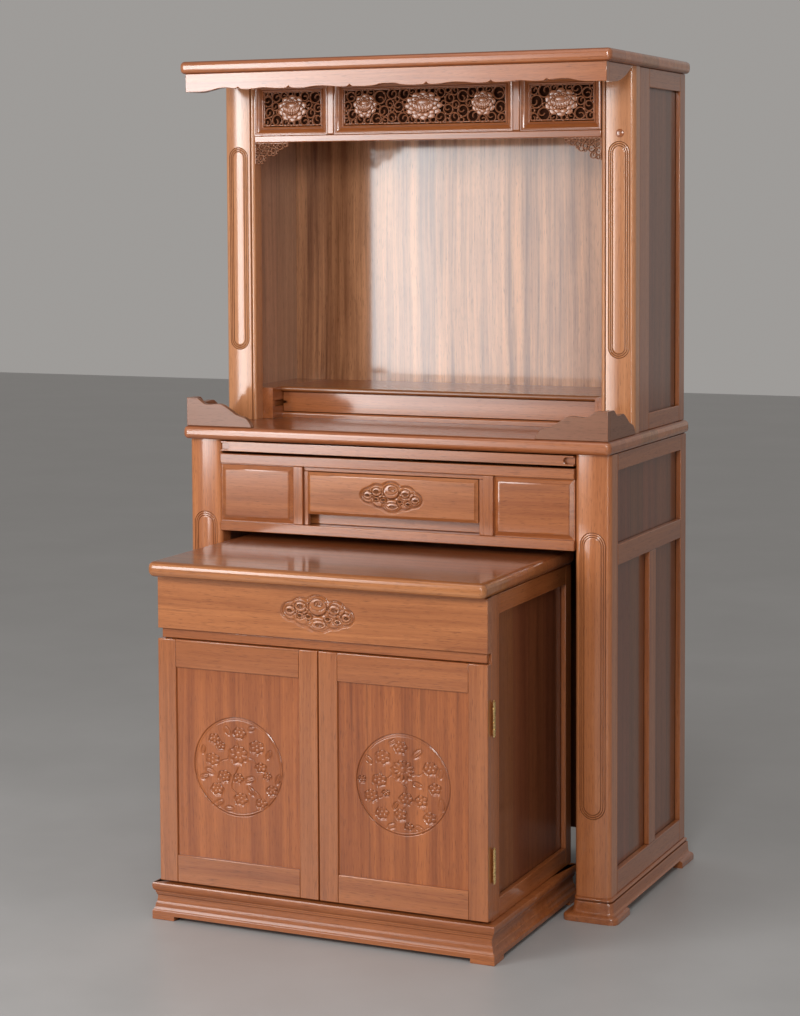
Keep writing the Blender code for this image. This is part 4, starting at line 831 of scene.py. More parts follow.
@dataclass
class SlottedPost:
    """A front post: bowed and rounded, with a bead or a round inside and a slot moulding on its face."""

    inner: float
    outer: float
    front: float
    back: float
    bottom: float
    top: float
    rounding: float
    bead: float
    slot: SlotMoulding
    slot_centre: float
    slot_low: float
    slot_high: float
    bow: float

    def shape(self, side: int) -> BMesh:
        """Makes the post for one side.

        Args:
            side: −1 for the left, 1 for the right.

        Returns:
            The new bmesh.
        """
        r = self.rounding
        outside = [(self.inner, self.back), (self.outer, self.back)]
        outside += arc((self.outer - r, self.front + r), r, 0, -90, 8)
        if self.bead:
            half = self.bead / 2
            inside = arc((self.inner + half, self.front + half), half, 180, 360, 10)
            inside += [(self.inner + self.bead + half * 0.15, self.front + half * 0.6),
                       (self.inner + self.bead + half * 0.4, self.front)]
        else:
            inside = arc((self.inner + r, self.front + r), r, 180, 270, 8)
        plan = [(side * x, y) for x, y in [*outside[::-1], *inside]]
        bm = bmesh.new()
        verts = [bm.verts.new((x, y, self.bottom)) for x, y in plan]
        edges = [bm.edges.new(pair) for pair in zip(verts, verts[1:])]
        raised = bmesh.ops.extrude_edge_only(bm, edges=edges)["geom"]
        bmesh.ops.translate(bm, verts=[g for g in raised if isinstance(g, BMVert)],
                            vec=(0, 0, self.top - self.bottom))
        flat = sorted((plan[0][0], plan[-1][0]))
        self.slot.cut_into(bm, (flat[0], flat[1], self.bottom, self.top), side * self.slot_centre,
                           self.slot_low, self.slot_high, self.front)
        bmesh.ops.remove_doubles(bm, verts=bm.verts[:], dist=1e-6)
        bmesh.ops.holes_fill(bm, edges=[e for e in bm.edges if e.is_boundary], sides=0)
        self.bend(bm, side)
        return facing(bm)

    def bend(self, bm: BMesh, side: int) -> None:
        """Bows the face: its edges go back, and its middle stays where it is."""
        half = (self.outer - self.inner) / 2
        middle = side * (self.inner + half)
        cuts = 14
        for i in range(1, cuts):
            x = middle - half + 2 * half * i / cuts
            bmesh.ops.bisect_plane(bm, geom=bm.verts[:] + bm.edges[:] + bm.faces[:], dist=1e-6,
                                   plane_co=(x, 0, 0), plane_no=(1, 0, 0))
        for vert in bm.verts:
            share = (self.back - vert.co.y) / (self.back - self.front)
            vert.co.y += self.bow * ((vert.co.x - middle) / half) ** 2 * share


@dataclass
class FramedSide:
    """A framed side: a lining with stiles and rails on its outer face.

    Args:
        node: The node that it stands for.
        side: −1 for the left, 1 for the right.
        recess: How far the panels lie behind the frame.
        stiles: Upright members, as front, back, bottom and top.
        rails: Level members, in the same order.
    """

    node: str
    side: int
    recess: float
    stiles: list[Four]
    rails: list[Four]
    lit_lining: float = 0.003

    def build(self) -> None:
        """Makes the side as one piece."""
        low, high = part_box(self.node)
        inner, outer = (low.x, high.x) if self.side > 0 else (high.x, low.x)
        face = outer - self.side * self.recess
        form = Form()
        middle = inner + self.side * self.lit_lining
        # The inner face takes the paler copy of the wood, painted light, and the panel behind the frame the
        # darker copy, painted shade.
        for start, end, grade in ((inner, middle, Grade.LIT_LINING), (middle, face, Grade.SHADE)):
            across = sorted((start, end))
            form.add(board((across[0], low.y, low.z), (across[1], high.y, high.z), 0.0),
                     wood(grade, Grain.ALONG_Z))
        across = sorted((face, outer))
        for members, grain in ((self.stiles, Grain.ALONG_Z), (self.rails, Grain.ALONG_Y)):
            for front, back, bottom, top in members:
                form.add(board((across[0], front, bottom), (across[1], back, top), 0.0016, 3),
                         wood(Grade.CASE, grain))
        form.place(f"{self.node}_wood", "cabinet", "cabinet_wood", [self.node])


def one_panel_side(node: str, side: int, recess: float, sizes: Four) -> FramedSide:
    """A framed side with one panel.

    Args:
        node: The node that it stands for.
        side: −1 for the left, 1 for the right.
        recess: How far the panel lies behind the frame.
        sizes: Widths of the front stile, the back stile, the bottom rail and the top rail.

    Returns:
        The side, ready to build.
    """
    low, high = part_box(node)
    front, back, bottom, top = low.y + sizes[0], high.y - sizes[1], low.z + sizes[2], high.z - sizes[3]
    stiles = [(low.y, front, low.z, high.z), (back, high.y, low.z, high.z)]
    rails = [(front, back, low.z, bottom), (front, back, top, high.z)]
    return FramedSide(node, side, recess, stiles, rails)


@dataclass
class UpperCase:
    """Posts and sides of the open niche, with the plug in the right post."""

    front_stile: float = 0.070
    back_stile: float = 0.040
    top_rail: float = 0.043
    bottom_rail: float = 0.038
    recess: float = 0.011
    plug: Three = (0.487, 1.751, 0.0095)

    def build(self) -> None:
        """Makes the posts and sides."""
        low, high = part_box("upper_post_right")
        post = SlottedPost(low.x, high.x, low.y, high.y, low.z, high.z, 0.0105, 0.010, SlotMoulding(0.0258),
                           0.4845, 1.2425, 1.7337, 0.0035)
        for side, tag in SIDES:
            single(f"upper_post_{tag}", post.shape(side), wood(Grade.POST, Grain.ALONG_Z))
            self.side(side, tag)
        self.post_plug(low.y)

    def side(self, side: int, tag: str) -> None:
        """One framed side."""
        sizes = (self.front_stile, self.back_stile, self.bottom_rail, self.top_rail)
        one_panel_side(f"upper_side_{tag}", side, self.recess, sizes).build()

    def post_plug(self, front: float) -> None:
        """The round wooden plug over a screw in the right post."""
        x, z, radius = self.plug
        profile = [(0.0, 0.004), (radius, 0.004), (radius, -0.0006), (radius * 0.85, -0.0014), (0.0, -0.0018)]
        form = Form()
        form.add(turned([(r, -h) for r, h in profile], Vector((x, front, z)), Vector((0, -1, 0)), 28),
                 wood(Grade.CASE, Grain.ALONG_X))
        form.place("post_plug", "cabinet", "cabinet_wood")


class Carvings:
    """Many small carved forms in one bmesh."""

    def __init__(self) -> None:
        """Starts with nothing."""
        self.bm = bmesh.new()

    def ball(self, place: Callable[[Vector], Three], fine: bool = False) -> None:
        """Adds a ball of radius one with each of its points moved to its place."""
        part = bmesh.new()
        bmesh.ops.create_uvsphere(part, u_segments=18 if fine else 10, v_segments=10 if fine else 7,
                                  radius=1.0)
        for vert in part.verts:
            vert.co = place(vert.co)
        join(self.bm, part)

    def leaf(self, centre: Point, angle: float, near: float, length: float, width: float, y: float,
             lift: float, thick: float, pinch: float = 0.5, squash: float = 1.0) -> None:
        """Adds one petal or leaf.

        Args:
            centre: The middle of the flower, across and up.
            angle: Which way it points, in degrees.
            near: How far from the middle it starts.
            length: Its length.
            width: Its greatest width.
            y: Depth of its root.
            lift: How far its tip stands forward of its root.
            thick: Half its thickness.
            pinch: How pointed its tip is.
            squash: Share of its height that is kept.
        """
        turn = math.radians(angle)

        def place(co: Vector) -> Three:
            """Where a point of the ball comes to lie in the petal."""
            share = (co.z + 1) / 2
            across = co.x * (1 - pinch * share ** 2.2) * width / 2
            out = near + length * share
            hollow = 0.35 * thick * (1 - (2 * across / width) ** 2)
            return (centre[0] + out * math.cos(turn) - across * math.sin(turn), y - lift * share ** 1.6 + co.y
                    * thick * (1 - 0.4 * share) + hollow,
                    centre[1] + (out * math.sin(turn) + across * math.cos(turn)) * squash)

        self.ball(place)

    def egg(self, centre: Point, half_width: float, half_height: float, y: float, thick: float) -> None:
        """Adds a rounded form round a centre."""
        self.ball(lambda co: (centre[0] + co.x * half_width, y + co.y * thick, centre[1] + co.z
                              * half_height), half_width > 0.004)

    def row(self, centre: Point, squash: float, count: int, near: float, length: float, width: float,
            y: float, lift: float, thick: float, start: float = 0.0, pinch: float = 0.5) -> None:
        """Adds a ring of petals, flattened in height by squash."""
        for i in range(count):
            self.leaf(centre, start + 360 * i / count, near, length, width, y, lift, thick, pinch, squash)

    def curl(self, centre: Point, radius: float, start: float, sweep: float, width: float, front: float,
             depth: float) -> None:
        """Adds a curved strip with a rounded front.

        Args:
            centre: Middle of the curve, across and up.
            radius: Radius of its middle line.
            start: Where it starts, in degrees from the right, turning left.
            sweep: How far it runs, in degrees.
            width: Width of the strip.
            front: Depth of its front.
            depth: How far back it reaches.
        """
        half = width / 2
        section = [(-half, depth), (-half, depth * 0.30), (-half * 0.55, depth * 0.07), (0.0, 0.0),
                   (half * 0.55, depth * 0.07), (half, depth * 0.30), (half, depth)]
        a = math.radians(start)
        middle = Vector((centre[0], front, centre[1]))
        part = bmesh.new()
        verts = []
        for out, back in section:
            reach = max(radius + out, 0.0002)
            verts.append(part.verts.new(middle + Vector((reach * math.cos(a), back, reach * math.sin(a)))))
        edges = [part.edges.new((verts[i - 1], verts[i])) for i in range(len(verts))]
        whole = sweep >= 359.9
        geom = verts + edges if whole else verts + edges + [part.faces.new(verts)]
        bmesh.ops.spin(part, geom=geom, cent=middle, axis=(0, -1, 0), angle=math.radians(sweep),
                       steps=max(6, int(sweep / 15)), use_merge=whole)
        bmesh.ops.remove_doubles(part, verts=part.verts[:], dist=1e-7)
        join(self.bm, facing(part))


@dataclass
class Openwork:
    """One fretwork panel: carved blossoms among curling vines."""

    strip: float = 0.0030
    depth: float = 0.0062
    biggest: float = 0.0165
    smallest: float = 0.0060
    overlap: float = 0.0016

    @staticmethod
    def blossom(work: Carvings, centre: Point, long: float, tall: float, front: float, petals: int) -> None:
        """Adds a lotus blossom: two rings of petals round a cup with petals of its own and a beaded rim.

        Args:
            work: The carvings that take it.
            centre: Its middle, across and up.
            long: Half its length.
            tall: Half its height.
            front: Depth of the vines' front, which its root lies at.
            petals: How many petals the outer ring has.
        """
        squash = tall / long
        turn = 360 / petals
        wide = long * 5.6 / petals
        work.row(centre, squash, petals, long * 0.55, long * 0.45, wide, front + 0.0006, 0.0016, 0.0032, 90,
                 0.30)
        work.row(centre, squash, petals, long * 0.42, long * 0.36, wide * 0.82, front - 0.0014, 0.0020,
                 0.0028, 90 + turn / 2, 0.30)
        cup = (centre[0], centre[1] + tall * 0.08)
        work.egg(cup, long * 0.52, tall * 0.50, front - 0.0004, 0.0044)
        work.egg((cup[0], cup[1] + tall * 0.16), long * 0.36, tall * 0.24, front - 0.0030, 0.0030)
        for i in range(20):
            angle = math.tau * i / 20
            bead = (cup[0] + long * 0.48 * math.cos(angle), cup[1] + tall * 0.46 * math.sin(angle))
            work.egg(bead, long * 0.085, tall * 0.095, front - 0.0030, 0.0021)
        for step in range(-3, 4):
            lean = 18.0 * step
            root = (cup[0] + long * 0.44 * math.sin(math.radians(lean)), cup[1] - tall * 0.45
                    * math.cos(math.radians(lean)))
            work.leaf(root, 90 - lean * 0.6, 0.0, tall * 0.56, long * 0.25, front - 0.0040, 0.0004, 0.0024,
                      0.75)

    def vines(self, work: Carvings, rings: Sequence[Three], front: float, seed: int) -> None:
        """Adds a ring of vine at each place, with a curl in the largest and a bud on most.

        Args:
            work: The carvings that take them.
            rings: Centre and outer radius of each ring.
            front: Depth of their front.
            seed: Seed of the curls' turns.
        """
        rng = np.random.default_rng(seed)
        for x, z, radius in rings:
            middle = radius - self.strip / 2
            work.curl((x, z), middle, 0, 360, self.strip, front, self.depth)
            turn = float(rng.uniform(0, 360))
            angle = math.radians(turn)
            if radius > self.strip * 3.0:
                inner = middle * 0.52
                place = (x + (middle - inner) * math.cos(angle), z + (middle - inner) * math.sin(angle))
                work.curl(place, inner, turn - 30, 235, self.strip * 0.85, front + 0.0008,
                          self.depth - 0.0008)
            bud = (x + middle * math.cos(angle + 2.0), z + middle * math.sin(angle + 2.0))
            work.egg(bud, self.strip * 0.85, self.strip * 0.85, front + 0.0008, 0.0024)

    def build(self, tag: str) -> None:
        """Makes the panel of one window."""
        node = f"fretwork_{tag}"
        low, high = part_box(node)
        front = high.y - 0.0078
        width, height = high.x - low.x, high.z - low.z
        blossoms = [(low.x + width * x, low.z + height * z, long * height, tall * height, petals) for x, z,
                    long, tall, petals in FRET_BLOSSOMS[tag]]

        def room(x: np.ndarray, z: np.ndarray) -> np.ndarray:
            """Room round each place between the window's edge and the blossoms."""
            free = np.minimum(np.minimum(x - low.x, high.x - x), np.minimum(z - low.z, high.z - z))
            for across, up, long, tall, _ in blossoms:
                share = np.hypot((x - across) / long, (z - up) / tall)
                free = np.minimum(free, (share - 0.86) * min(long, tall))
            return free

        work = Carvings()
        sizes = (self.biggest, self.smallest, self.overlap)
        rings = packed_rings(room, (low.x, high.x, low.z, high.z), sizes, 90, len(tag))
        self.vines(work, rings, front, len(tag))
        form = Form()
        form.add(work.bm, wood(Grade.CARVED, Grain.ALONG_X))
        work = Carvings()
        for across, up, long, tall, petals in blossoms:
            self.blossom(work, (across, up), long, tall, front, petals)
        form.add(work.bm, wood(Grade.BLOSSOM, Grain.ALONG_X))
        for edge in ((low.x, low.x + 0.003, low.z, high.z), (high.x - 0.003, high.x, low.z, high.z)):
            form.add(board((edge[0], front + 0.001, edge[2]), (edge[1], high.y, edge[3])),
                     wood(Grade.CARVED, Grain.ALONG_Z))
        for edge in ((low.z, low.z + 0.003), (high.z - 0.003, high.z)):
            form.add(board((low.x, front + 0.001, edge[0]), (high.x, high.y, edge[1])),
                     wood(Grade.CARVED, Grain.ALONG_X))
        form.place(f"{node}_carving", "cabinet", "carved_wood", [node], 50)


def packed_rings(room: Callable[[np.ndarray, np.ndarray], np.ndarray], box: Four, sizes: Three, most: int,
                 seed: int) -> list[Three]:
    """Fills a region with rings that touch, the larger ones first.

    Args:
        room: Gives the free distance round places in the region, under zero outside it.
        box: Left, right, bottom and top of the region.
        sizes: Largest radius, smallest radius, and how far neighbours overlap.
        most: The most rings to lay.
        seed: Seed of the small differences in size.

    Returns:
        Centre and radius of each ring.
    """
    biggest, smallest, overlap = sizes
    step = smallest / 6
    x, z = np.meshgrid(np.arange(box[0], box[1], step), np.arange(box[2], box[3], step))
    free = room(x, z) + overlap
    rng = np.random.default_rng(seed)
    shake = rng.uniform(0, biggest * 0.10, free.shape)
    rings = []
    for _ in range(most):
        largest = biggest * rng.uniform(0.72, 1.0)
        score = np.minimum(free, largest) + np.where(free > largest * 0.8, shake, 0.0)
        best = np.unravel_index(np.argmax(score), score.shape)
        radius = float(min(free[best], largest))
        if radius < smallest:
            break
        rings.append((float(x[best]), float(z[best]), radius))
        free = np.minimum(free, np.hypot(x - x[best], z - z[best]) - radius + overlap)
    return rings


# Blossoms of each window: across as a share of the width, up, half length and half height as shares of the
# height
FRET_BLOSSOMS = {
    "left": ((0.50, 0.50, 0.48, 0.40, 10),),
    "centre": ((0.135, 0.53, 0.38, 0.35, 9), (0.500, 0.50, 0.60, 0.42, 12), (0.865, 0.53, 0.38, 0.35, 9)),
    "right": ((0.49, 0.50, 0.50, 0.40, 10),),
}


@dataclass
class Frieze:
    """The framed frieze with its three openwork windows, the rail under it and the corner brackets."""

    muntin: tuple[float, float] = (0.2275, 0.2455)
    side_window: tuple[float, float] = (0.266, 0.421)
    centre_window: float = 0.207
    window_low: float = 1.7828
    window_high: float = 1.8658
    margin: float = 0.0205
    shadow_sheet_thickness: float = 0.006
    # Lobes of a bracket: away from the post as a share of its length, down as a share of its height, and
    # radius
    bracket_lobes: tuple[Three, ...] = (
        (0.20, 0.25, 0.42), (0.16, 0.70, 0.28), (0.50, 0.26, 0.36), (0.74, 0.14, 0.24), (0.92, 0.05, 0.14),
    )

    def build(self) -> None:
        """Makes every piece of the frieze."""
        plain("frieze_rail", Grain.ALONG_X, 0.0022, 3)
        self.frame()
        self.shadow_sheet()
        for tag in ("left", "centre", "right"):
            Openwork().build(tag)
        for side, tag in SIDES:
            self.lit_bracket(side, tag)

    def frame(self) -> None:
        """The frame: a mitred moulding round each window, with muntins between them."""
        low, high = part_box("frieze_frame")
        front = low.y + 0.002
        form = Form()
        windows = [(-self.side_window[1], -self.side_window[0]), (-self.centre_window, self.centre_window),
                   self.side_window]
        for left, right in windows:
            form.add(self.window_moulding(left, right, low.z, front, high.y), wood(Grade.CASE, Grain.ALONG_X))
        top = self.window_high + self.margin
        form.add(board((low.x, front, top), (high.x, high.y, high.z), 0.0008),
                 wood(Grade.CASE, Grain.ALONG_X))
        for side in (-1, 1):
            inner, outer = sorted((side * self.muntin[0], side * self.muntin[1]))
            form.add(board((inner, low.y, low.z), (outer, high.y, top), 0.0028, 4),
                     wood(Grade.CASE, Grain.ALONG_Z))
        form.place("frieze_frame_wood", "cabinet", "cabinet_wood", ["frieze_frame"])

    def shadow_sheet(self) -> None:
        """A near-black sheet close behind the openwork: painted shade in its holes."""
        low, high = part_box("frieze_frame")
        form = Form()
        # Painted shade: a near-black board seen through the holes of the openwork.
        form.add(board((low.x, high.y + JOINT_GAP, low.z), (high.x, high.y + self.shadow_sheet_thickness, high.z),
                       0.0), wood(Grade.SHADOW_SHEET, Grain.ALONG_X))
        form.place("frieze_shadow_sheet", "cabinet", "panel_wood")

    def window_moulding(self, left: float, right: float, bottom: float, front: float, back: float) -> BMesh:
        """A rectangular moulding round one window, with an open middle."""
        grow = self.margin - JOINT_GAP
        x0, x1, z0, z1 = left - grow, right + grow, bottom, self.window_high + grow
        bm = bmesh.new()
        corners = [(x0, front, z0), (x1, front, z0), (x1, front, z1), (x0, front, z1)]
        face = bm.faces.new([bm.verts.new(c) for c in corners])
        face.normal_update()
        if face.normal.y > 0:
            face.normal_flip()
        shell = list(face.edges)
        profile = ((0.0020, 0.0), (0.0009, -0.0010), (0.0016, -0.0002), (0.0060, -0.0040), (0.0046, -0.0034),
                   (0.0008, -0.0006), (0.0008, 0.0012), (0.0016, 0.0008), (0.0016, -0.0008),
                   (0.0006, -0.0014))
        for thickness, rise in profile:
            bmesh.ops.inset_region(bm, faces=[face], thickness=thickness, depth=rise, use_even_offset=True,
                                   use_boundary=True)
        inner = list(face.edges)
        bmesh.ops.delete(bm, geom=[face], context="FACES_ONLY")
        for edges in (shell, inner):
            grown = bmesh.ops.extrude_edge_only(bm, edges=edges)["geom"]
            for vert in (g for g in grown if isinstance(g, BMVert)):
                vert.co.y = back
        rear = [e for e in bm.edges if e.is_boundary]
        bmesh.ops.bridge_loops(bm, edges=rear)
        return facing(bm)

    def lit_bracket(self, side: int, tag: str) -> None:
        """One openwork corner bracket of curling vines."""
        node = f"spandrel_{tag}"
        low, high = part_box(node)
        carver = Openwork(0.0024, 0.007, 0.0088, 0.0030, 0.0014)
        work = Carvings()
        front = low.y + 0.001
        long, tall = high.x - low.x, high.z - low.z
        root = high.x if side > 0 else low.x

        def room(x: np.ndarray, z: np.ndarray) -> np.ndarray:
            """Room round each place inside the bracket's curved corner."""
            out, down = np.abs(x - root), high.z - z
            inside = np.full_like(x, -1.0)
            for across, under, radius in self.bracket_lobes:
                reach = np.hypot(out - across * long, down - under * tall)
                inside = np.maximum(inside, radius * tall - reach)
            return np.minimum(np.minimum(out, down), inside)

        sizes = (carver.biggest, carver.smallest, carver.overlap)
        rings = packed_rings(room, (low.x, high.x, low.z, high.z), sizes, 60, 5)
        carver.vines(work, rings, front, 5)
        form = Form()
        # The paler bracket wood is painted light.
        form.add(work.bm, wood(Grade.LIT_BRACKET, Grain.ALONG_X))
        form.add(board((low.x, front + 0.0005, high.z - 0.0030), (high.x, high.y, high.z)),
                 wood(Grade.LIT_BRACKET, Grain.ALONG_X))
        edge = sorted((root, root - side * 0.0030))
        form.add(board((edge[0], front + 0.0005, low.z), (edge[1], high.y, high.z)),
                 wood(Grade.LIT_BRACKET, Grain.ALONG_Z))
        form.place(f"{node}_carving", "cabinet", "carved_wood", [node], 50)


@dataclass
class NicheBase:
    """The raised floor of the niche, the tray that slides under it and the blocks beside it."""

    notch_height: float = 0.006
    notch_reach: float = 0.008
    notch_depth: float = 0.012
    notch_middle: float = 1.1105
    front_thickness: float = 0.018
    floor_thickness: float = 0.010
    # The blocks' groove: bottom, top and how deep it is cut
    groove: Three = (1.102, 1.117, 0.008)

    def build(self) -> None:
        """Makes the pieces."""
        low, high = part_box("niche_floor")
        bm = board(low, high, 0.0)
        nose = [e for e in bm.edges if all(abs(v.co.y - low.y) < 1e-6 for v in e.verts)
                and abs(e.verts[0].co.z - e.verts[1].co.z) < 1e-6]
        soften(bm, nose, 0.0048, 4)
        single("niche_floor", bm, wood(Grade.TOP, Grain.ALONG_X))
        low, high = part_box("niche_foot_rail")
        bm = board(low, high, 0.0)
        nose = [e for e in bm.edges if all(abs(v.co.y - low.y) < 1e-6 and v.co.z > high.z - 1e-6
                                           for v in e.verts)]
        soften(bm, nose, 0.005, 4)
        single("niche_foot_rail", bm, wood(Grade.CASE, Grain.ALONG_X))
        for side, tag in SIDES:
            self.cheek(side, tag)
        self.tray()

    def cheek(self, side: int, tag: str) -> None:
        """The block beside the tray, with the groove that carries it."""
        node = f"niche_cheek_{tag}"
        low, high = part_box(node)
        groove = self.groove
        inner, outer = (low.x, high.x) if side > 0 else (high.x, low.x)
        across = sorted((inner + side * groove[2], outer))
        form = Form()
        finish = wood(Grade.CASE, Grain.ALONG_Y)
        form.add(board((across[0], low.y, low.z), (across[1], high.y, high.z), 0.0006), finish)
        across = sorted((inner, inner + side * groove[2]))
        for bottom, top in ((low.z, groove[0]), (groove[1], high.z)):
            form.add(board((across[0], low.y, bottom), (across[1], high.y, top), 0.0006), finish)
        for front, back in ((low.y, low.y + 0.012), (high.y - 0.012, high.y)):
            form.add(board((across[0], front, groove[0]), (across[1], back, groove[1]), 0.0), finish)
        form.place(f"{node}_wood", "cabinet", "cabinet_wood", [node])

    def tray(self) -> None:
        """The sliding tray: a front with small end notches, and the board behind it."""
        low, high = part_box("niche_tray")
        finish = wood(Grade.CASE, Grain.ALONG_X)
        notch, rear = low.y + self.notch_depth, low.y + self.front_thickness
        form = Form()
        form.add(notched_front(low.x, high.x, low.z, high.z, low.y, notch, self.notch_middle,
                               self.notch_height / 2, self.notch_reach), finish)
        form.add(board((low.x, notch, low.z), (high.x, rear, high.z), 0.0), finish)
        form.add(board((low.x, rear, low.z), (high.x, high.y, low.z + self.floor_thickness), 0.0008), finish)
        form.place("niche_tray_wood", "niche_tray", "cabinet_wood", ["niche_tray"])


def notched_front(left: float, right: float, bottom: float, top: float, front: float, back: float,
                  middle: float, radius: float, reach: float) -> BMesh:
    """A front strip with a round-ended notch at each end.

    Args:
        left: Left end.
        right: Right end.
        bottom: Lower edge.
        top: Upper edge.
        front: Depth of its face.
        back: Depth of its rear.
        middle: Height of the notches.
        radius: Half the height of a notch.
        reach: How far in the notch's round end has its centre.

    Returns:
        The new bmesh.
    """
    at_right = [(right, middle - radius), *arc((right - reach, middle), radius, 270, 90, 10),
                (right, middle + radius)]
    at_left = [(left, middle + radius), *arc((left + reach, middle), radius, 90, -90, 10),
               (left, middle - radius)]
    outline = [(left, bottom), (right, bottom), *at_right, (right, top), (left, top), *at_left]
    return slab(outline, Plane.FRONT, front, back, 0.001)


@dataclass
class CornerGuards:
    """Low shaped boards round the table's front corners."""

    # Upper edge: share of the length from the corner, share of the height
    edge: tuple[Point, ...] = ((0.000, 1.00), (0.140, 1.00), (0.195, 0.94), (0.250, 0.83), (0.310, 0.78),
                               (0.400, 0.79), (0.500, 0.81), (0.570, 0.76), (0.660, 0.62), (0.750, 0.47),
                               (0.830, 0.39), (0.900, 0.34), (0.945, 0.25), (0.980, 0.12), (1.000, 0.02))

    def build(self) -> None:
        """Makes the four boards."""
        for side, tag in SIDES:
            low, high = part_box(f"guard_front_{tag}")
            outer, inner = (high.x, low.x) if side > 0 else (low.x, high.x)
            line = flowing([(outer + (inner - outer) * u, low.z + (high.z - low.z) * v) for u,
                            v in self.edge], 4)
            outline = [*line, (inner, low.z), (outer, low.z)]
            single(f"guard_front_{tag}", slab(outline, Plane.FRONT, low.y, high.y, 0.0028, 3),
                   wood(Grade.GUARD, Grain.ALONG_X))
            low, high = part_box(f"guard_side_{tag}")
            line = flowing([(low.y + (high.y - low.y) * u, low.z + (high.z - low.z) * v) for u,
                            v in self.edge], 4)
            outline = [*line, (high.y, low.z), (low.y, low.z)]
            single(f"guard_side_{tag}", slab(outline, Plane.SIDE, low.x, high.x, 0.0028, 3),
                   wood(Grade.GUARD, Grain.ALONG_Y))


@dataclass
class LowerCase:
    """Table board, columns, framed sides and moulded plinths of the lower part."""

    column_inner: float = 0.4435
    column_outer: float = 0.5275
    column_front: float = -0.0804
    column_back: float = -0.0334
    side_inner: float = 0.4975
    case_back: float = 0.477
    slot_low: float = 0.2268
    slot_high: float = 0.870
    front_stile: float = 0.006
    back_stile: float = 0.040
    middle_stile: tuple[float, float] = (0.197, 0.245)
    rail_heights: Four = (0.104, 0.792, 0.838, 1.0037)
    recess: float = 0.013
    flare: float = 0.023
    inward: float = 0.0215
    pad: float = 0.017
    front_pad_end: float = -0.0084
    back_pad_start: float = 0.387
    # Plinth moulding: share of the flare outside, share of the reach inside, height
    moulding: tuple[Three, ...] = ((0.66, 0.48, 0.0170), (0.53, 0.30, 0.0178), (0.47, 0.20, 0.0192),
                                   (0.43, 0.12, 0.0220), (0.41, 0.08, 0.0265), (0.39, 0.05, 0.0320),
                                   (0.37, 0.02, 0.0370), (0.35, 0.00, 0.0412), (0.30, 0.00, 0.0432),
                                   (0.12, 0.00, 0.0438), (0.11, 0.00, 0.0452), (0.24, 0.00, 0.0459),
                                   (0.28, 0.00, 0.0480), (0.24, 0.00, 0.0500), (0.12, 0.00, 0.0512),
                                   (0.06, 0.00, 0.0517))
    foot: tuple[Three, ...] = (
        (0.97, 0.98, 0.0), (1.0, 1.0, 0.0008), (1.0, 1.0, 0.0105), (0.98, 0.96, 0.0128), (0.92, 0.87, 0.0148),
        (0.82, 0.72, 0.0162), (0.70, 0.55, 0.0170), (0.60, 0.42, 0.0175),
    )

    def build(self) -> None:
        """Makes every piece of the lower case."""
        low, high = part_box("table_board")
        place_top("table_board", rounded_top(low, high, 0.012, 0.0115))
        low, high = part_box("column_right")
        column = SlottedPost(low.x, high.x, low.y, high.y, low.z, high.z, 0.0098, 0.0,
                             SlotMoulding(0.0306, 24), 0.4855, self.slot_low, self.slot_high, 0.0050)
        for side, tag in SIDES:
            single(f"column_{tag}", column.shape(side), wood(Grade.COLUMN, Grain.ALONG_Z))
            self.side(side, tag)
            self.plinth(side, tag)

    def side(self, side: int, tag: str) -> None:
        """One framed side with three panels."""
        low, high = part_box(f"lower_side_{tag}")
        front, back = low.y + self.front_stile, high.y - self.back_stile
        bottom, lower, upper, top = self.rail_heights
        stiles = [(low.y, front, low.z, high.z), (back, high.y, low.z, high.z),
                  (*self.middle_stile, bottom, lower)]
        rails = [(front, back, low.z, bottom), (front, back, lower, upper), (front, back, top, high.z)]
        FramedSide(f"lower_side_{tag}", side, self.recess, stiles, rails).build()

    def ring(self, side: int, grow: float, inward: float, z: float, start: float, end: float) -> list[Vector]:
        """One level loop of the plinth between two depths."""
        grow, inward = grow * self.flare, inward * self.inward
        front = self.column_front - grow
        r = 0.010 + grow * 0.3
        inner, outer = self.column_inner - inward, self.column_outer + grow
        if start <= self.column_front:
            points = [(inner, self.column_back), *arc((inner + r, front + r), r, 180, 270, 5),
                      *arc((outer - r, front + r), r, 270, 360, 5), (outer, end), (self.side_inner, end),
                      (self.side_inner, self.column_back)]
        else:
            points = [(self.side_inner, start), (outer, start), (outer, end), (self.side_inner, end)]
        return [Vector((side * x, y, z)) for x, y in points]

    def plinth(self, side: int, tag: str) -> None:
        """One plinth: a moulding along the side and a pad at each end."""
        form = Form()
        finish = wood(Grade.CASE, Grain.ALONG_Y)
        start, end = self.column_front, self.case_back
        form.add(loft([self.ring(side, *level, start, end) for level in self.moulding]), finish)
        form.add(loft([self.ring(side, *level, start, self.front_pad_end) for level in self.foot]), finish)
        form.add(loft([self.ring(side, *level, self.back_pad_start, end) for level in self.foot]), finish)
        form.place(f"plinth_{tag}_wood", "cabinet", "cabinet_wood", [f"plinth_{tag}"], 40)


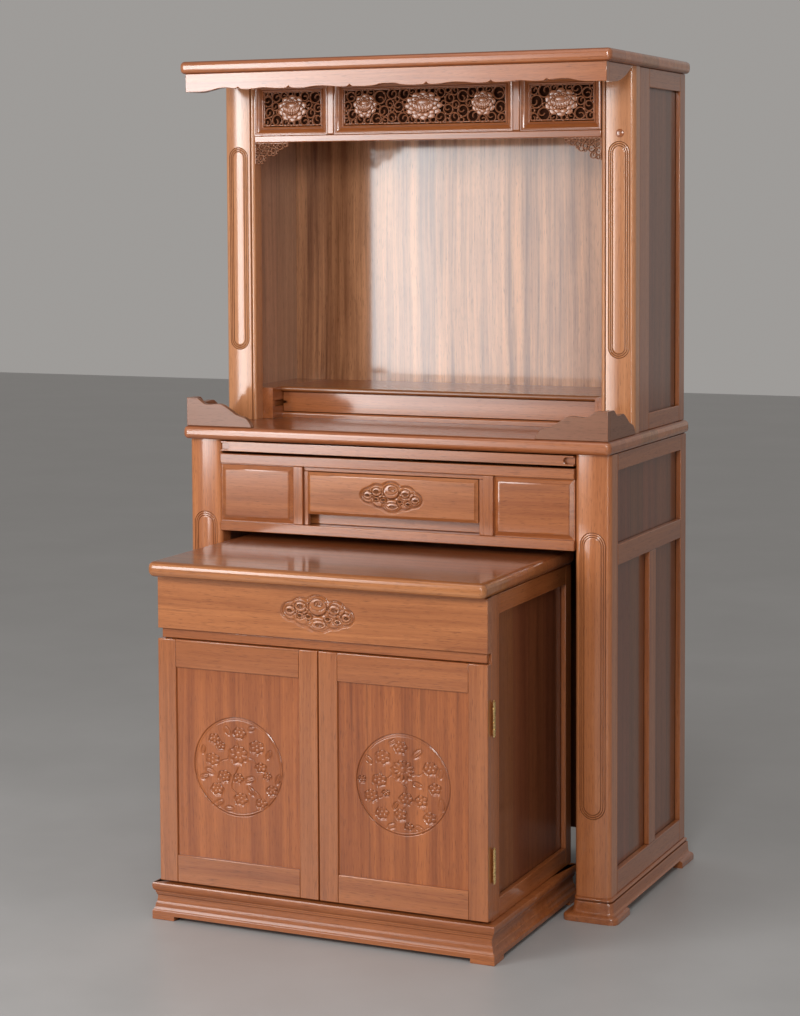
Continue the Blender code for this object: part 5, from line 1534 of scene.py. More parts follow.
class Relief:
    """A carved surface as a height over a plane, worked out at many points at once."""

    def __init__(self, u: np.ndarray, v: np.ndarray, ground: float = 0.0) -> None:
        """Starts with a level ground."""
        self.u = u
        self.v = v
        self.height = np.full_like(u, ground)

    def oval(self, centre: Point, long: float, wide: float, turn: float = 0.0) -> np.ndarray:
        """Share of the way from the middle of an oval to its rim, one at the rim."""
        a = math.radians(turn)
        du, dv = self.u - centre[0], self.v - centre[1]
        along = du * math.cos(a) + dv * math.sin(a)
        across = dv * math.cos(a) - du * math.sin(a)
        return np.hypot(along / long, across / wide)

    def raise_to(self, share: np.ndarray, base: float, rise: float, fullness: float = 0.5) -> None:
        """Raises a domed form out of a base where the share is under one."""
        inside = np.clip(1 - share ** 2, 0, 1)
        self.height = np.where(share < 1, np.maximum(self.height, base + rise * inside ** fullness),
                               self.height)

    def sink_to(self, share: np.ndarray, depth: float, fullness: float = 0.35) -> None:
        """Sinks a bowl where the share is under one."""
        inside = np.clip(1 - share ** 2, 0, 1)
        self.height = np.where(share < 1, np.minimum(self.height, -depth * inside ** fullness), self.height)

    def cut_line(self, distance: np.ndarray, half_width: float, depth: float) -> None:
        """Cuts a V-shaped line where the distance is small."""
        share = np.clip(1 - np.abs(distance) / half_width, 0, 1)
        self.height = self.height - depth * share

    def blossom(self, centre: Point, radius: float, petals: int, depth: float, rise: float,
                turn: float) -> None:
        """Carves a hollow with petals and a bud standing in it.

        Args:
            centre: Middle of the blossom.
            radius: Radius of the hollow.
            petals: How many petals.
            depth: Depth of the hollow.
            rise: How far the petals rise from its floor.
            turn: Angle of the first petal in degrees.
        """
        du, dv = self.u - centre[0], self.v - centre[1]
        angle = np.arctan2(dv, du) - math.radians(turn)
        lobes = 1 - 0.12 * (0.5 - 0.5 * np.cos(angle * petals))
        self.sink_to(np.hypot(du / 1.10, dv / 0.92) / (radius * lobes), depth, 0.45)
        raised = radius * 0.12
        bumps = 1.1 * np.sqrt(np.clip(1 - self.oval((centre[0], centre[1] + raised), radius * 0.34,
                                                    radius * 0.30) ** 2, 0, 1))
        for i in range(petals):
            a = math.radians(turn + 360 * i / petals)
            middle = (centre[0] + radius * 0.52 * math.cos(a), centre[1] + raised + radius * 0.44
                      * math.sin(a))
            share = self.oval(middle, radius * 0.34, radius * min(0.32, 1.9 / petals), math.degrees(a))
            bumps = np.maximum(bumps, np.sqrt(np.clip(1 - share ** 2, 0, 1)))
        self.height = self.height + rise * bumps

    def leaf(self, centre: Point, length: float, width: float, turn: float, depth: float,
             rise: float) -> None:
        """Carves a leaf with a vein, standing in a hollow."""
        self.sink_to(self.oval(centre, length * 0.66, width * 0.90, turn), depth, 0.75)
        share = self.oval(centre, length * 0.5, width * 0.5, turn)
        self.height = self.height + rise * np.sqrt(np.clip(1 - share ** 2, 0, 1))
        a = math.radians(turn)
        du, dv = self.u - centre[0], self.v - centre[1]
        across = dv * math.cos(a) - du * math.sin(a)
        inside = self.oval(centre, length * 0.44, width * 0.5, turn) < 1
        self.cut_line(np.where(inside, across, 1.0), width * 0.12, depth * 0.35)

    def stem(self, points: Sequence[Point], half_width: float, depth: float) -> None:
        """Cuts a flowing line through points."""
        line = np.array(flowing(points, 6))
        distance = np.full_like(self.u, 10.0)
        for start, end in zip(line, line[1:]):
            span = end - start
            t = np.clip(((self.u - start[0]) * span[0] + (self.v - start[1]) * span[1]) / (span @ span), 0, 1)
            distance = np.minimum(distance, np.hypot(self.u - start[0] - span[0] * t, self.v - start[1]
                                                     - span[1] * t))
        self.cut_line(distance, half_width, depth)


@dataclass(frozen=True)
class CloudCarving:
    """A cluster of scrolled clouds with a deep line round it, on a patch of a drawer front.

    Args:
        width: Width of the cluster.
        height: Height of the cluster.
        depth: Depth of the line round it.
    """

    width: float
    height: float
    depth: float = 0.0038
    pitch: float = 0.00070
    border: float = 0.006
    # Lobes of the cluster in units of half the width: across, up, half length and half height
    lobes: tuple[Four, ...] = (
        (-0.745, 0.02, 0.250, 0.215), (-0.470, 0.15, 0.255, 0.215), (0.000, 0.20, 0.310, 0.250),
        (0.510, 0.12, 0.250, 0.215), (0.760, -0.05, 0.235, 0.205), (-0.400, -0.12, 0.250, 0.190),
        (0.450, -0.15, 0.265, 0.195), (0.020, -0.26, 0.320, 0.185),
    )
    # Scrolls inside the cluster: across, up, half length, half height, and the same for the eye in each
    scrolls: tuple[tuple[float, float, float, float, float, float, float, float],
                   ...] = ((0.005, 0.165, 0.255, 0.225, 0.040, 0.250, 0.130, 0.085),
                           (-0.480, 0.145, 0.165, 0.140, -0.490, 0.165, 0.085, 0.055),
                           (-0.775, 0.035, 0.150, 0.130, -0.790, 0.035, 0.070, 0.045),
                           (0.470, 0.120, 0.160, 0.135, 0.480, 0.110, 0.085, 0.060),
                           (0.800, -0.060, 0.135, 0.120, 0.810, -0.070, 0.060, 0.045),
                           (-0.260, -0.100, 0.110, 0.085, -0.260, -0.095, 0.060, 0.042),
                           (0.290, -0.135, 0.105, 0.085, 0.290, -0.125, 0.058, 0.042),
                           (0.030, -0.290, 0.215, 0.125, 0.060, -0.290, 0.115, 0.052),
                           (-0.490, -0.080, 0.105, 0.080, -0.500, -0.080, 0.055, 0.040),
                           (0.560, -0.190, 0.110, 0.085, 0.565, -0.190, 0.058, 0.042))

    def patch(self, centre: Point, y: float) -> BMesh:
        """Makes the carved patch.

        Args:
            centre: Its middle, across and up.
            y: Depth of the face that it lies in.

        Returns:
            The patch.
        """
        half_x, half_z = self.width / 2 + self.border, self.height / 2 + self.border
        bm = bmesh.new()
        bmesh.ops.create_grid(bm, x_segments=int(2 * half_x / self.pitch),
                              y_segments=int(2 * half_z / self.pitch), size=1.0)
        co = np.array([v.co[:2] for v in bm.verts])
        x, z = co[:, 0] * half_x, co[:, 1] * half_z
        height = self.carve(x / (self.width / 2), z / (self.width / 2))
        rim = np.minimum(half_x - np.abs(x), half_z - np.abs(z)) < self.pitch * 0.5
        height[rim] = 0.0
        for vert, across, up, out in zip(bm.verts, x, z, height):
            vert.co = (centre[0] + across, y - out, centre[1] + up)
        return bm

    def carve(self, u: np.ndarray, v: np.ndarray) -> np.ndarray:
        """Heights of the cluster over the face, at places in units of half its width."""
        work = Relief(u, v)
        blend = 0.022
        total = np.zeros_like(u)
        for across, up, long, tall in self.lobes:
            distance = (work.oval((across, up), long, tall) - 1) * min(long, tall)
            total += np.exp(-np.clip(distance, -0.4, 0.6) / blend)
        outline = -blend * np.log(total)
        inside = np.clip(-outline / 0.09, 0, 1)
        work.height = np.where(outline < 0, -0.0006 + 0.0012 * np.sqrt(inside), 0.0)
        inner = outline < -0.03
        for across, up, long, tall in self.lobes:
            rim = (work.oval((across, up), long, tall) - 1) * min(long, tall)
            work.cut_line(np.where(inner, rim, 1.0), 0.022, 0.0016)
        for across, up, long, tall, eye_across, eye_up, eye_long, eye_tall in self.scrolls:
            share = work.oval((across, up), long, tall)
            work.raise_to(share, -0.0004, 0.0016, 0.4)
            work.cut_line((share - 1) * min(long, tall), 0.024, 0.0021)
            lip = work.oval((across, up + tall * 0.28), long * 0.82, tall * 0.66)
            work.cut_line(np.where(v < up + tall * 0.1, (lip - 1) * tall * 0.7, 1.0), 0.020, 0.0013)
            eye = work.oval((eye_across, eye_up), eye_long, eye_tall)
            work.sink_to(eye, 0.0024)
            for step in (-0.48, 0.0, 0.48):
                bead = work.oval((eye_across + eye_long * step, eye_up - eye_tall * 0.1), eye_long * 0.22,
                                 eye_tall * 0.42)
                work.raise_to(bead, -0.0020, 0.0020)
        work.cut_line(outline - 0.012, 0.046, self.depth)
        return work.height


@dataclass
class Medallion:
    """A round of blossoms and leaves carved into a door panel, with two fine rings at its rim.

    Args:
        radius: Radius of the round.
        blossoms: Across, up, radius and petals of each blossom, in units of the radius.
        leaves: Across, up, length, width and turn of each leaf.
        stems: Points of each stem.
    """

    radius: float
    blossoms: tuple[tuple[float, float, float, int], ...]
    leaves: tuple[tuple[float, float, float, float, float], ...]
    stems: tuple[tuple[Point, ...], ...]
    depth: float = 0.0034
    rings: int = 120
    spokes: int = 512

    def disc(self, centre: Point, y: float) -> BMesh:
        """Makes the carved disc in the plane of the panel.

        Args:
            centre: Its middle, across and up.
            y: Depth of the panel's face.

        Returns:
            The new bmesh.
        """
        bm = bmesh.new()
        verts = [bm.verts.new((self.radius * i / self.rings, 0.0, 0.0)) for i in range(self.rings + 1)]
        edges = [bm.edges.new(pair) for pair in zip(verts, verts[1:])]
        bmesh.ops.spin(bm, geom=verts + edges, cent=(0, 0, 0), axis=(0, -1, 0), angle=math.tau,
                       steps=self.spokes, use_merge=True)
        bmesh.ops.remove_doubles(bm, verts=bm.verts[:], dist=1e-7)
        co = np.array([v.co for v in bm.verts])
        u, v = co[:, 0] / self.radius, co[:, 2] / self.radius
        height = self.carve(u, v)
        height[np.hypot(u, v) > 0.9995] = 0.0
        for vert, out in zip(bm.verts, height):
            vert.co.y = -out
        bmesh.ops.translate(bm, verts=bm.verts[:], vec=(centre[0], y, centre[1]))
        return bm

    def carve(self, u: np.ndarray, v: np.ndarray) -> np.ndarray:
        """Heights of the carving over the panel, at places in units of the radius."""
        work = Relief(u, v)
        reach = np.hypot(u, v)
        for points in self.stems:
            work.stem(points, 0.018, 0.0014)
        for across, up, length, width, turn in self.leaves:
            work.leaf((across, up), length, width, turn, self.depth * 0.8, self.depth * 0.75)
        for number, (across, up, size, petals) in enumerate(self.blossoms):
            work.blossom((across, up), size, petals, self.depth, self.depth * 0.9, 20 + 37 * number)
        work.cut_line(reach - 0.972, 0.015, 0.0020)
        work.cut_line(reach - 0.930, 0.010, 0.0009)
        return work.height


LEFT_MEDALLION = Medallion(0.112, blossoms=((0.00, 0.22, 0.23, 8), (0.03, 0.66, 0.15, 6),
                                            (0.41, 0.41, 0.17, 6), (-0.53, 0.51, 0.13, 5),
                                            (-0.39, 0.38, 0.11, 5), (-0.57, 0.09, 0.16, 6),
                                            (0.50, 0.02, 0.13, 5), (0.64, -0.13, 0.10, 5),
                                            (-0.31, -0.22, 0.15, 6), (0.00, -0.24, 0.13, 5),
                                            (0.74, -0.41, 0.13, 5), (-0.47, -0.49, 0.15, 6),
                                            (0.06, -0.65, 0.16, 6), (0.51, -0.69, 0.13, 5)),
                           leaves=((0.25, -0.24, 0.22, 0.10, 20), (-0.63, -0.14, 0.20, 0.09, 160),
                                   (-0.76, -0.26, 0.18, 0.08, 200), (-0.44, -0.76, 0.22, 0.09, 30),
                                   (0.88, -0.17, 0.18, 0.08, 70), (0.28, -0.45, 0.20, 0.09, -50),
                                   (-0.20, -0.85, 0.18, 0.08, 0), (0.68, 0.30, 0.18, 0.08, 60),
                                   (-0.24, 0.70, 0.18, 0.08, 120), (0.30, 0.78, 0.16, 0.07, 20),
                                   (-0.78, 0.28, 0.16, 0.07, 80)),
                           stems=(((0.0, 0.0), (-0.15, -0.4), (0.0, -0.55)),
                                  ((0.0, 0.42), (-0.05, 0.55), (0.03, 0.6)),
                                  ((0.2, 0.2), (0.32, 0.18), (0.42, 0.06)),
                                  ((-0.2, 0.15), (-0.36, 0.1), (-0.45, 0.05)),
                                  ((-0.3, -0.3), (-0.4, -0.35), (-0.47, -0.42)),
                                  ((0.3, -0.4), (0.45, -0.5), (0.5, -0.6))))
RIGHT_MEDALLION = Medallion(0.112, blossoms=((0.00, 0.25, 0.25, 12), (-0.05, 0.70, 0.15, 6),
                                             (-0.42, 0.48, 0.17, 6), (0.57, 0.35, 0.16, 6),
                                             (0.66, -0.03, 0.14, 5), (-0.49, 0.03, 0.16, 6),
                                             (-0.86, 0.03, 0.09, 5), (-0.66, -0.28, 0.15, 6),
                                             (-0.36, -0.20, 0.09, 5), (0.06, -0.28, 0.15, 6),
                                             (0.38, -0.29, 0.14, 5), (-0.44, -0.60, 0.15, 6),
                                             (-0.05, -0.60, 0.14, 5), (0.12, -0.80, 0.10, 5),
                                             (0.56, -0.60, 0.14, 5)),
                            leaves=((0.30, 0.62, 0.22, 0.09, 40), (0.78, 0.28, 0.18, 0.08, 80),
                                    (-0.72, 0.42, 0.18, 0.08, 130), (0.80, -0.32, 0.20, 0.09, 100),
                                    (-0.24, -0.82, 0.18, 0.08, 20), (0.34, -0.82, 0.18, 0.08, -30),
                                    (-0.22, 0.80, 0.16, 0.07, 30), (-0.16, -0.42, 0.16, 0.07, 60),
                                    (0.30, 0.02, 0.18, 0.08, -20)),
                            stems=(((0.0, 0.0), (0.06, -0.05), (0.06, -0.16)),
                                   ((0.2, 0.2), (0.36, 0.22), (0.44, 0.3)),
                                   ((-0.2, 0.2), (-0.3, 0.12), (-0.36, 0.06)),
                                   ((0.06, -0.42), (0.0, -0.48), (-0.05, -0.5)),
                                   ((-0.4, -0.25), (-0.5, -0.3), (-0.56, -0.28)),
                                   ((0.4, -0.4), (0.46, -0.5), (0.5, -0.52))))


def faced(outer: Four, y: float, insert: BMesh, inner_edges: list[BMEdge]) -> None:
    """Adds a flat face between a rectangle and the rim of an insert that lies in the same plane.

    Args:
        outer: Left, right, bottom and top of the rectangle.
        y: Depth of the plane.
        insert: The bmesh that holds the insert, which takes the new faces.
        inner_edges: Edges of the insert's rim.
    """
    left, right, bottom, top = outer
    edges = closed_loop(insert, [(left, y, bottom), (right, y, bottom), (right, y, top), (left, y, top)])
    bmesh.ops.triangle_fill(insert, edges=edges + inner_edges, use_beauty=True, normal=(0, -1, 0))


def backed(bm: BMesh, edges: list[BMEdge], profile: Sequence[Point], corners: Four) -> BMesh:
    """Carries the rim of a carved face out and back and closes it behind.

    Args:
        bm: The bmesh with the carved face.
        edges: Its outer rim, a rectangle.
        profile: How far out and at what depth each following rim lies.
        corners: Left, right, bottom and top of the rectangle.

    Returns:
        The same bmesh, closed.
    """
    left, right, bottom, top = corners
    middle = ((left + right) / 2, (bottom + top) / 2)
    for out, y in profile:
        grown = bmesh.ops.extrude_edge_only(bm, edges=edges)["geom"]
        edges = [g for g in grown if isinstance(g, BMEdge)]
        for vert in (g for g in grown if isinstance(g, BMVert)):
            vert.co.x = (right + out) if vert.co.x > middle[0] else (left - out)
            vert.co.z = (top + out) if vert.co.z > middle[1] else (bottom - out)
            vert.co.y = y
    bmesh.ops.holes_fill(bm, edges=edges, sides=0)
    return facing(bm)


def outer_edges(bm: BMesh, box: Four) -> list[BMEdge]:
    """The four edges between the corners of a rectangle."""
    left, right, bottom, top = box

    def at_corner(vert: BMVert) -> bool:
        """Whether a point is a corner of the rectangle."""
        return (min(abs(vert.co.x - left), abs(vert.co.x - right)) < 1e-6
                and min(abs(vert.co.z - bottom), abs(vert.co.z - top)) < 1e-6)

    return [e for e in bm.edges if at_corner(e.verts[0]) and at_corner(e.verts[1]) and e.is_boundary]


def carved_front(box: Four, y: float, centre: Point, carving: CloudCarving,
                 profile: Sequence[Point]) -> BMesh:
    """A drawer front with a cloud carving in its face.

    Args:
        box: Left, right, bottom and top of the flat face.
        y: Depth of the face.
        centre: Middle of the carving.
        carving: The carving.
        profile: How far out and at what depth each rim behind the face lies.

    Returns:
        The new bmesh, closed.
    """
    bm = carving.patch(centre, y)
    rim = [e for e in bm.edges if e.is_boundary]
    faced(box, y, bm, rim)
    return backed(bm, outer_edges(bm, box), profile, box)


@dataclass
class Apron:
    """Rails, stiles, raised panels, carved drawer and pull-out board between the columns."""

    panel_bevel: float = 0.014
    panel_step: float = 0.007
    drawer_bevel: float = 0.008
    drawer_step: float = 0.006
    box_inset: float = 0.012
    front_thickness: float = 0.018
    opening_top: float = 0.9855
    stile_inner: float = 0.2263
    lip_setback: float = 0.007
    drawer_face: float = -0.0840
    carving: CloudCarving = CloudCarving(0.151, 0.068)
    notch_radius: float = 0.0075
    notch_reach: float = 0.016
    notch_depth: float = 0.010

    def build(self) -> None:
        """Makes every piece of the apron."""
        plain("apron_bottom_rail", Grain.ALONG_X, 0.0018, 3)
        self.top_rail()
        for side, tag in SIDES:
            self.stile(side, tag)
            self.panel(tag)
        plain("drawer_rail", Grain.ALONG_X)
        self.drawer()
        self.pull_out()

    def top_rail(self) -> None:
        """The rail over the drawer, with a lip set back behind the drawer's upper edge."""
        low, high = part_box("apron_top_rail")
        finish = wood(Grade.CASE, Grain.ALONG_X)
        half = self.stile_inner - JOINT_GAP
        form = Form()
        form.add(board((low.x, low.y, self.opening_top), high, 0.0018, 3), finish)
        form.add(board((-half, low.y + self.lip_setback, low.z), (half, high.y - 0.002, self.opening_top)),
                 finish)
        form.place("apron_top_rail_wood", "cabinet", "cabinet_wood", ["apron_top_rail"])

    def stile(self, side: int, tag: str) -> None:
        """One stile beside the drawer, with a lip set back beside the drawer's end."""
        node = f"apron_stile_{tag}"
        low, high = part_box(node)
        lip_edge, outer = (low.x, high.x) if side > 0 else (high.x, low.x)
        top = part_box("apron_top_rail")[0].z - 2 * JOINT_GAP
        finish = wood(Grade.CASE, Grain.ALONG_Z)
        form = Form()
        for start, end, front, back, height, ease in (
                (side * self.stile_inner, outer, low.y, high.y, high.z, 0.0018),
                (lip_edge, side * self.stile_inner, low.y + self.lip_setback, high.y - 0.002, top, EASE)):
            across = sorted((start, end))
            form.add(board((across[0], front, low.z), (across[1], back, height), ease, 3), finish)
        form.place(f"{node}_wood", "cabinet", "cabinet_wood", [node])

    def panel(self, tag: str) -> None:
        """One raised panel with sloped edges and a fine step round its field."""
        node = f"apron_panel_{tag}"
        low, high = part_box(node)
        bm = board((low.x, low.y + self.panel_step, low.z), high, 0.0)
        front = min(bm.faces, key=lambda f: f.calc_center_median().y)
        step, bevel = self.panel_step, self.panel_bevel
        for thickness, rise in ((0.0015, 0.0), (bevel * 0.70, step * 0.66), (0.0006, step * 0.20),
                                (bevel * 0.2, step * 0.14), (0.001, 0.0)):
            bmesh.ops.inset_region(bm, faces=[front], thickness=thickness, depth=rise, use_even_offset=True)
        single(node, bm, wood(Grade.CASE, Grain.ALONG_X))

    def drawer(self) -> None:
        """The carved drawer."""
        low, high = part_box("table_drawer")
        front = self.drawer_face
        rear = front + self.front_thickness
        inset = self.drawer_bevel
        face = (low.x + inset, high.x - inset, low.z + inset, high.z - inset)
        profile = [(inset * 0.16, front + 0.0004), (inset * 0.22, front + 0.0016),
                   (inset, front + self.drawer_step), (inset, rear)]
        form = Form()
        middle = ((low.x + high.x) / 2, (low.z + high.z) / 2)
        form.add(carved_front(face, front, middle, self.carving, profile), wood(Grade.FRONT, Grain.ALONG_X))
        inner = Vector((low.x + self.box_inset, rear, low.z + 0.001))
        outer = Vector((high.x - self.box_inset, high.y, high.z - 0.009))
        for part in box_tray(inner, outer, 0.010, 0.006):
            form.add(part, wood(Grade.HIDDEN, Grain.ALONG_Y))
        form.place("table_drawer_wood", "table_drawer", "cabinet_wood", ["table_drawer"])

    def pull_out(self) -> None:
        """The writing board with a round-ended finger notch at each end."""
        low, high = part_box("pullout_board")
        finish = wood(Grade.CASE, Grain.ALONG_X)
        notch = low.y + self.notch_depth
        form = Form()
        form.add(notched_front(low.x, high.x, low.z, high.z, low.y, notch, (low.z + high.z) / 2,
                               self.notch_radius, self.notch_reach), finish)
        form.add(board((low.x, notch, low.z), high, 0.0), finish)
        form.place("pullout_board_wood", "pullout_board", "cabinet_wood", ["pullout_board"])


@dataclass
class SmallCase:
    """Top, framed sides, divider and moulded base of the small cabinet."""

    corner: float = 0.016
    nose: float = 0.0135
    front_stile: float = 0.042
    back_stile: float = 0.036
    top_rail: float = 0.043
    bottom_rail: float = 0.042
    recess: float = 0.012
    foot_length: float = 0.055
    foot_height: float = 0.010
    base_rail: float = 0.045
    overhang: float = 0.017

    def build(self) -> None:
        """Makes every piece of the case."""
        low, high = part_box("small_top")
        place_top("small_top", rounded_top(low, high, self.corner, self.nose))
        for side, tag in SIDES:
            sizes = (self.front_stile, self.back_stile, self.bottom_rail, self.top_rail)
            one_panel_side(f"small_side_{tag}", side, self.recess, sizes).build()
        self.divider()
        self.base()

    def divider(self) -> None:
        """The board between the drawer and the doors, wider in front of the case."""
        low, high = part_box("small_divider")
        side_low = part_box("small_side_right")[0]
        left_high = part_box("small_side_left")[1]
        shoulder = side_low.y - 2 * JOINT_GAP
        finish = wood(Grade.CASE, Grain.ALONG_X)
        form = Form()
        form.add(board(low, (high.x, shoulder, high.z), 0.0015, 3), finish)
        form.add(board((left_high.x + JOINT_GAP, shoulder, low.z), (side_low.x - JOINT_GAP, high.y, high.z),
                       0.0), finish)
        form.place("small_divider_wood", "cabinet", "cabinet_wood", ["small_divider"])

    def base_profile(self, top: float) -> list[Point]:
        """The base moulding as (outward, height) points from the foot to the top."""
        out, high = self.overhang, top
        points = [(out - 0.0006, self.foot_height), (out, self.foot_height + 0.0006)]
        points += [(out, high * 0.225), (out * 0.985, high * 0.245), (out * 0.93, high * 0.258)]
        points += flowing([(out * 0.87, high * 0.270), (out * 0.76, high * 0.315), (out * 0.69, high * 0.370),
                           (out * 0.66, high * 0.415)], 3)
        points += [(out * 0.65, high * 0.432), (out * 0.62, high * 0.442)]
        points += flowing([(out * 0.58, high * 0.450), (out * 0.51, high * 0.500), (out * 0.46, high * 0.570),
                           (out * 0.45, high * 0.645)], 3)
        points += [(out * 0.52, high * 0.662), (out * 0.58, high * 0.672), (out * 0.58, high * 0.712),
                   (out * 0.66, high * 0.722), (out * 0.66, high * 0.762)]
        points += flowing([(out * 0.70, high * 0.772), (out * 0.82, high * 0.795), (out * 0.94, high * 0.845),
                           (out, high * 0.910), (out * 0.975, high * 0.965), (out * 0.90, high)], 4)
        return points

    def base(self) -> None:
        """The moulded base frame on four short feet."""
        low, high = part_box("small_base")
        form = Form()
        x0, x1 = low.x + self.overhang, high.x - self.overhang
        y0, y1 = low.y + self.overhang, high.y - self.overhang
        rail = self.base_rail
        profile = self.base_profile(high.z)
        profile = [(-rail, self.foot_height), *profile, (-rail, high.z)]
        loops = [[Vector((x0 - out, y0 - out, z)), Vector((x1 + out, y0 - out, z)),
                  Vector((x1 + out, y1 + out, z)), Vector((x0 - out, y1 + out, z))] for out, z in profile]
        bm = bmesh.new()
        rings = [closed_loop(bm, loop) for loop in loops]
        for near, following in zip(rings, rings[1:] + rings[:1]):
            bmesh.ops.bridge_loops(bm, edges=near + following)
        form.add(facing(bm), wood(Grade.BASE, Grain.ALONG_X))
        long, deep = self.foot_length, self.overhang + rail
        for across in (-1, 1):
            for back in (-1, 1):
                corner = (low.x if across < 0 else high.x, low.y if back < 0 else high.y)
                outline = [(0, 0), (long, 0), (long, deep), (deep, deep), (deep, long), (0, long)]
                plan = [(corner[0] - across * x, corner[1] - back * y) for x, y in outline]
                form.add(slab(plan, Plane.PLAN, 0.0, self.foot_height + 0.0006, 0.0008),
                         wood(Grade.BASE, Grain.ALONG_X))
        form.place("small_base_wood", "cabinet", "cabinet_wood", ["small_base"], 40)


@dataclass
class SmallDrawer:
    """The wide drawer over the doors, with its carved front."""

    front_thickness: float = 0.022
    rounding: float = 0.0024
    case_half: float = 0.3695
    face_depth: float = -0.4500
    carving: CloudCarving = CloudCarving(0.170, 0.0715)

    def build(self) -> None:
        """Makes the drawer."""
        low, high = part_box("small_drawer")
        front = self.face_depth
        rear = front + self.front_thickness
        r = self.rounding
        face = (low.x + r, high.x - r, low.z + r, high.z - r)
        profile = [(r * 0.38, front + r * 0.08), (r * 0.70, front + r * 0.30), (r * 0.92, front + r * 0.62),
                   (r, front + r), (r, rear)]
        form = Form()
        centre = ((low.x + high.x) / 2, (low.z + high.z) / 2)
        form.add(carved_front(face, front, centre, self.carving, profile), wood(Grade.FRONT, Grain.ALONG_X))
        middle = centre[0]
        inner = Vector((middle - self.case_half, rear, low.z + 0.001))
        outer = Vector((middle + self.case_half, high.y, high.z - 0.009))
        for part in box_tray(inner, outer, 0.010, 0.006):
            form.add(part, wood(Grade.HIDDEN, Grain.ALONG_Y))
        form.place("small_drawer_wood", "small_drawer", "cabinet_wood", ["small_drawer"])


@dataclass
class Door:
    """One framed door with its carved panel and two brass hinges.

    Args:
        brass: The finish of its hinges.
        tag: Which door, left or right.
        medallion: The carving of its panel.
    """

    brass: bpy.types.Material
    tag: str
    medallion: Medallion
    stile: float = 0.0445
    rail: float = 0.0620
    barrel: float = 0.0040
    panel_face: float = -0.445

    def build(self) -> None:
        """Makes the frame, the panel and the hinges."""
        body = f"door_{self.tag}"
        low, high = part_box(f"door_frame_{self.tag}")
        form = Form()
        for x0, x1 in ((low.x, low.x + self.stile), (high.x - self.stile, high.x)):
            form.add(board((x0, low.y, low.z), (x1, high.y, high.z), 0.0018, 3),
                     wood(Grade.CASE, Grain.ALONG_Z))
        x0, x1 = low.x + self.stile, high.x - self.stile
        for z0, z1 in ((low.z, low.z + self.rail), (high.z - self.rail, high.z)):
            form.add(board((x0, low.y, z0), (x1, high.y, z1), 0.0018, 3), wood(Grade.CASE, Grain.ALONG_X))
        form.place(f"door_frame_{self.tag}_wood", body, "cabinet_wood", [f"door_frame_{self.tag}"])
        self.panel(body)
        for level in ("upper", "lower"):
            self.hinge(level, body)

    def panel(self, body: str) -> None:
        """The panel of glued boards with the carved round in it."""
        node = f"door_panel_{self.tag}"
        low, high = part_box(node)
        y = self.panel_face
        frame_low, frame_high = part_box(f"door_frame_{self.tag}")
        centre = ((frame_low.x + frame_high.x) / 2, (frame_low.z + frame_high.z) / 2)
        bm = self.medallion.disc(centre, y)
        rim = [e for e in bm.edges if e.is_boundary]
        box = (low.x, high.x, low.z, high.z)
        faced(box, y, bm, rim)
        backed(bm, outer_edges(bm, box), [(0.0, high.y)], box)
        form = Form()
        form.add(bm, wood(Grade.FIELD, Grain.ALONG_Z))
        form.place(f"{node}_wood", body, "carved_wood", [node], 50)

    def hinge(self, level: str, body: str) -> None:
        """A butt hinge: a barrel of five knuckles with a ball at each end."""
        node = f"hinge_{level}_{self.tag}"
        low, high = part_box(node)
        centre = Vector(((low.x + high.x) / 2, (low.y + high.y) / 2, (low.z + high.z) / 2))
        half = (high.z - low.z) / 2
        r = self.barrel
        barrel_half = half - 0.004
        profile = [(0.0, -half), (r * 0.62, -half + 0.0010), (r * 0.70, -half + 0.0022),
                   (r * 0.50, -barrel_half)]
        knuckle = 2 * barrel_half / 5
        for i in range(5):
            start = -barrel_half + knuckle * i
            profile += [(r * 0.86, start + 0.0001), (r, start + 0.0006), (r, start + knuckle - 0.0006),
                        (r * 0.86, start + knuckle - 0.0001)]
        profile += [(r * 0.50, barrel_half), (r * 0.70, half - 0.0022), (r * 0.62, half - 0.0010),
                    (0.0, half)]
        form = Form()
        form.add(turned(profile, centre, Vector((0, 0, 1)), 20), self.brass)
        form.place(f"{node}_brass", body, "hinge_brass", [node], 40)


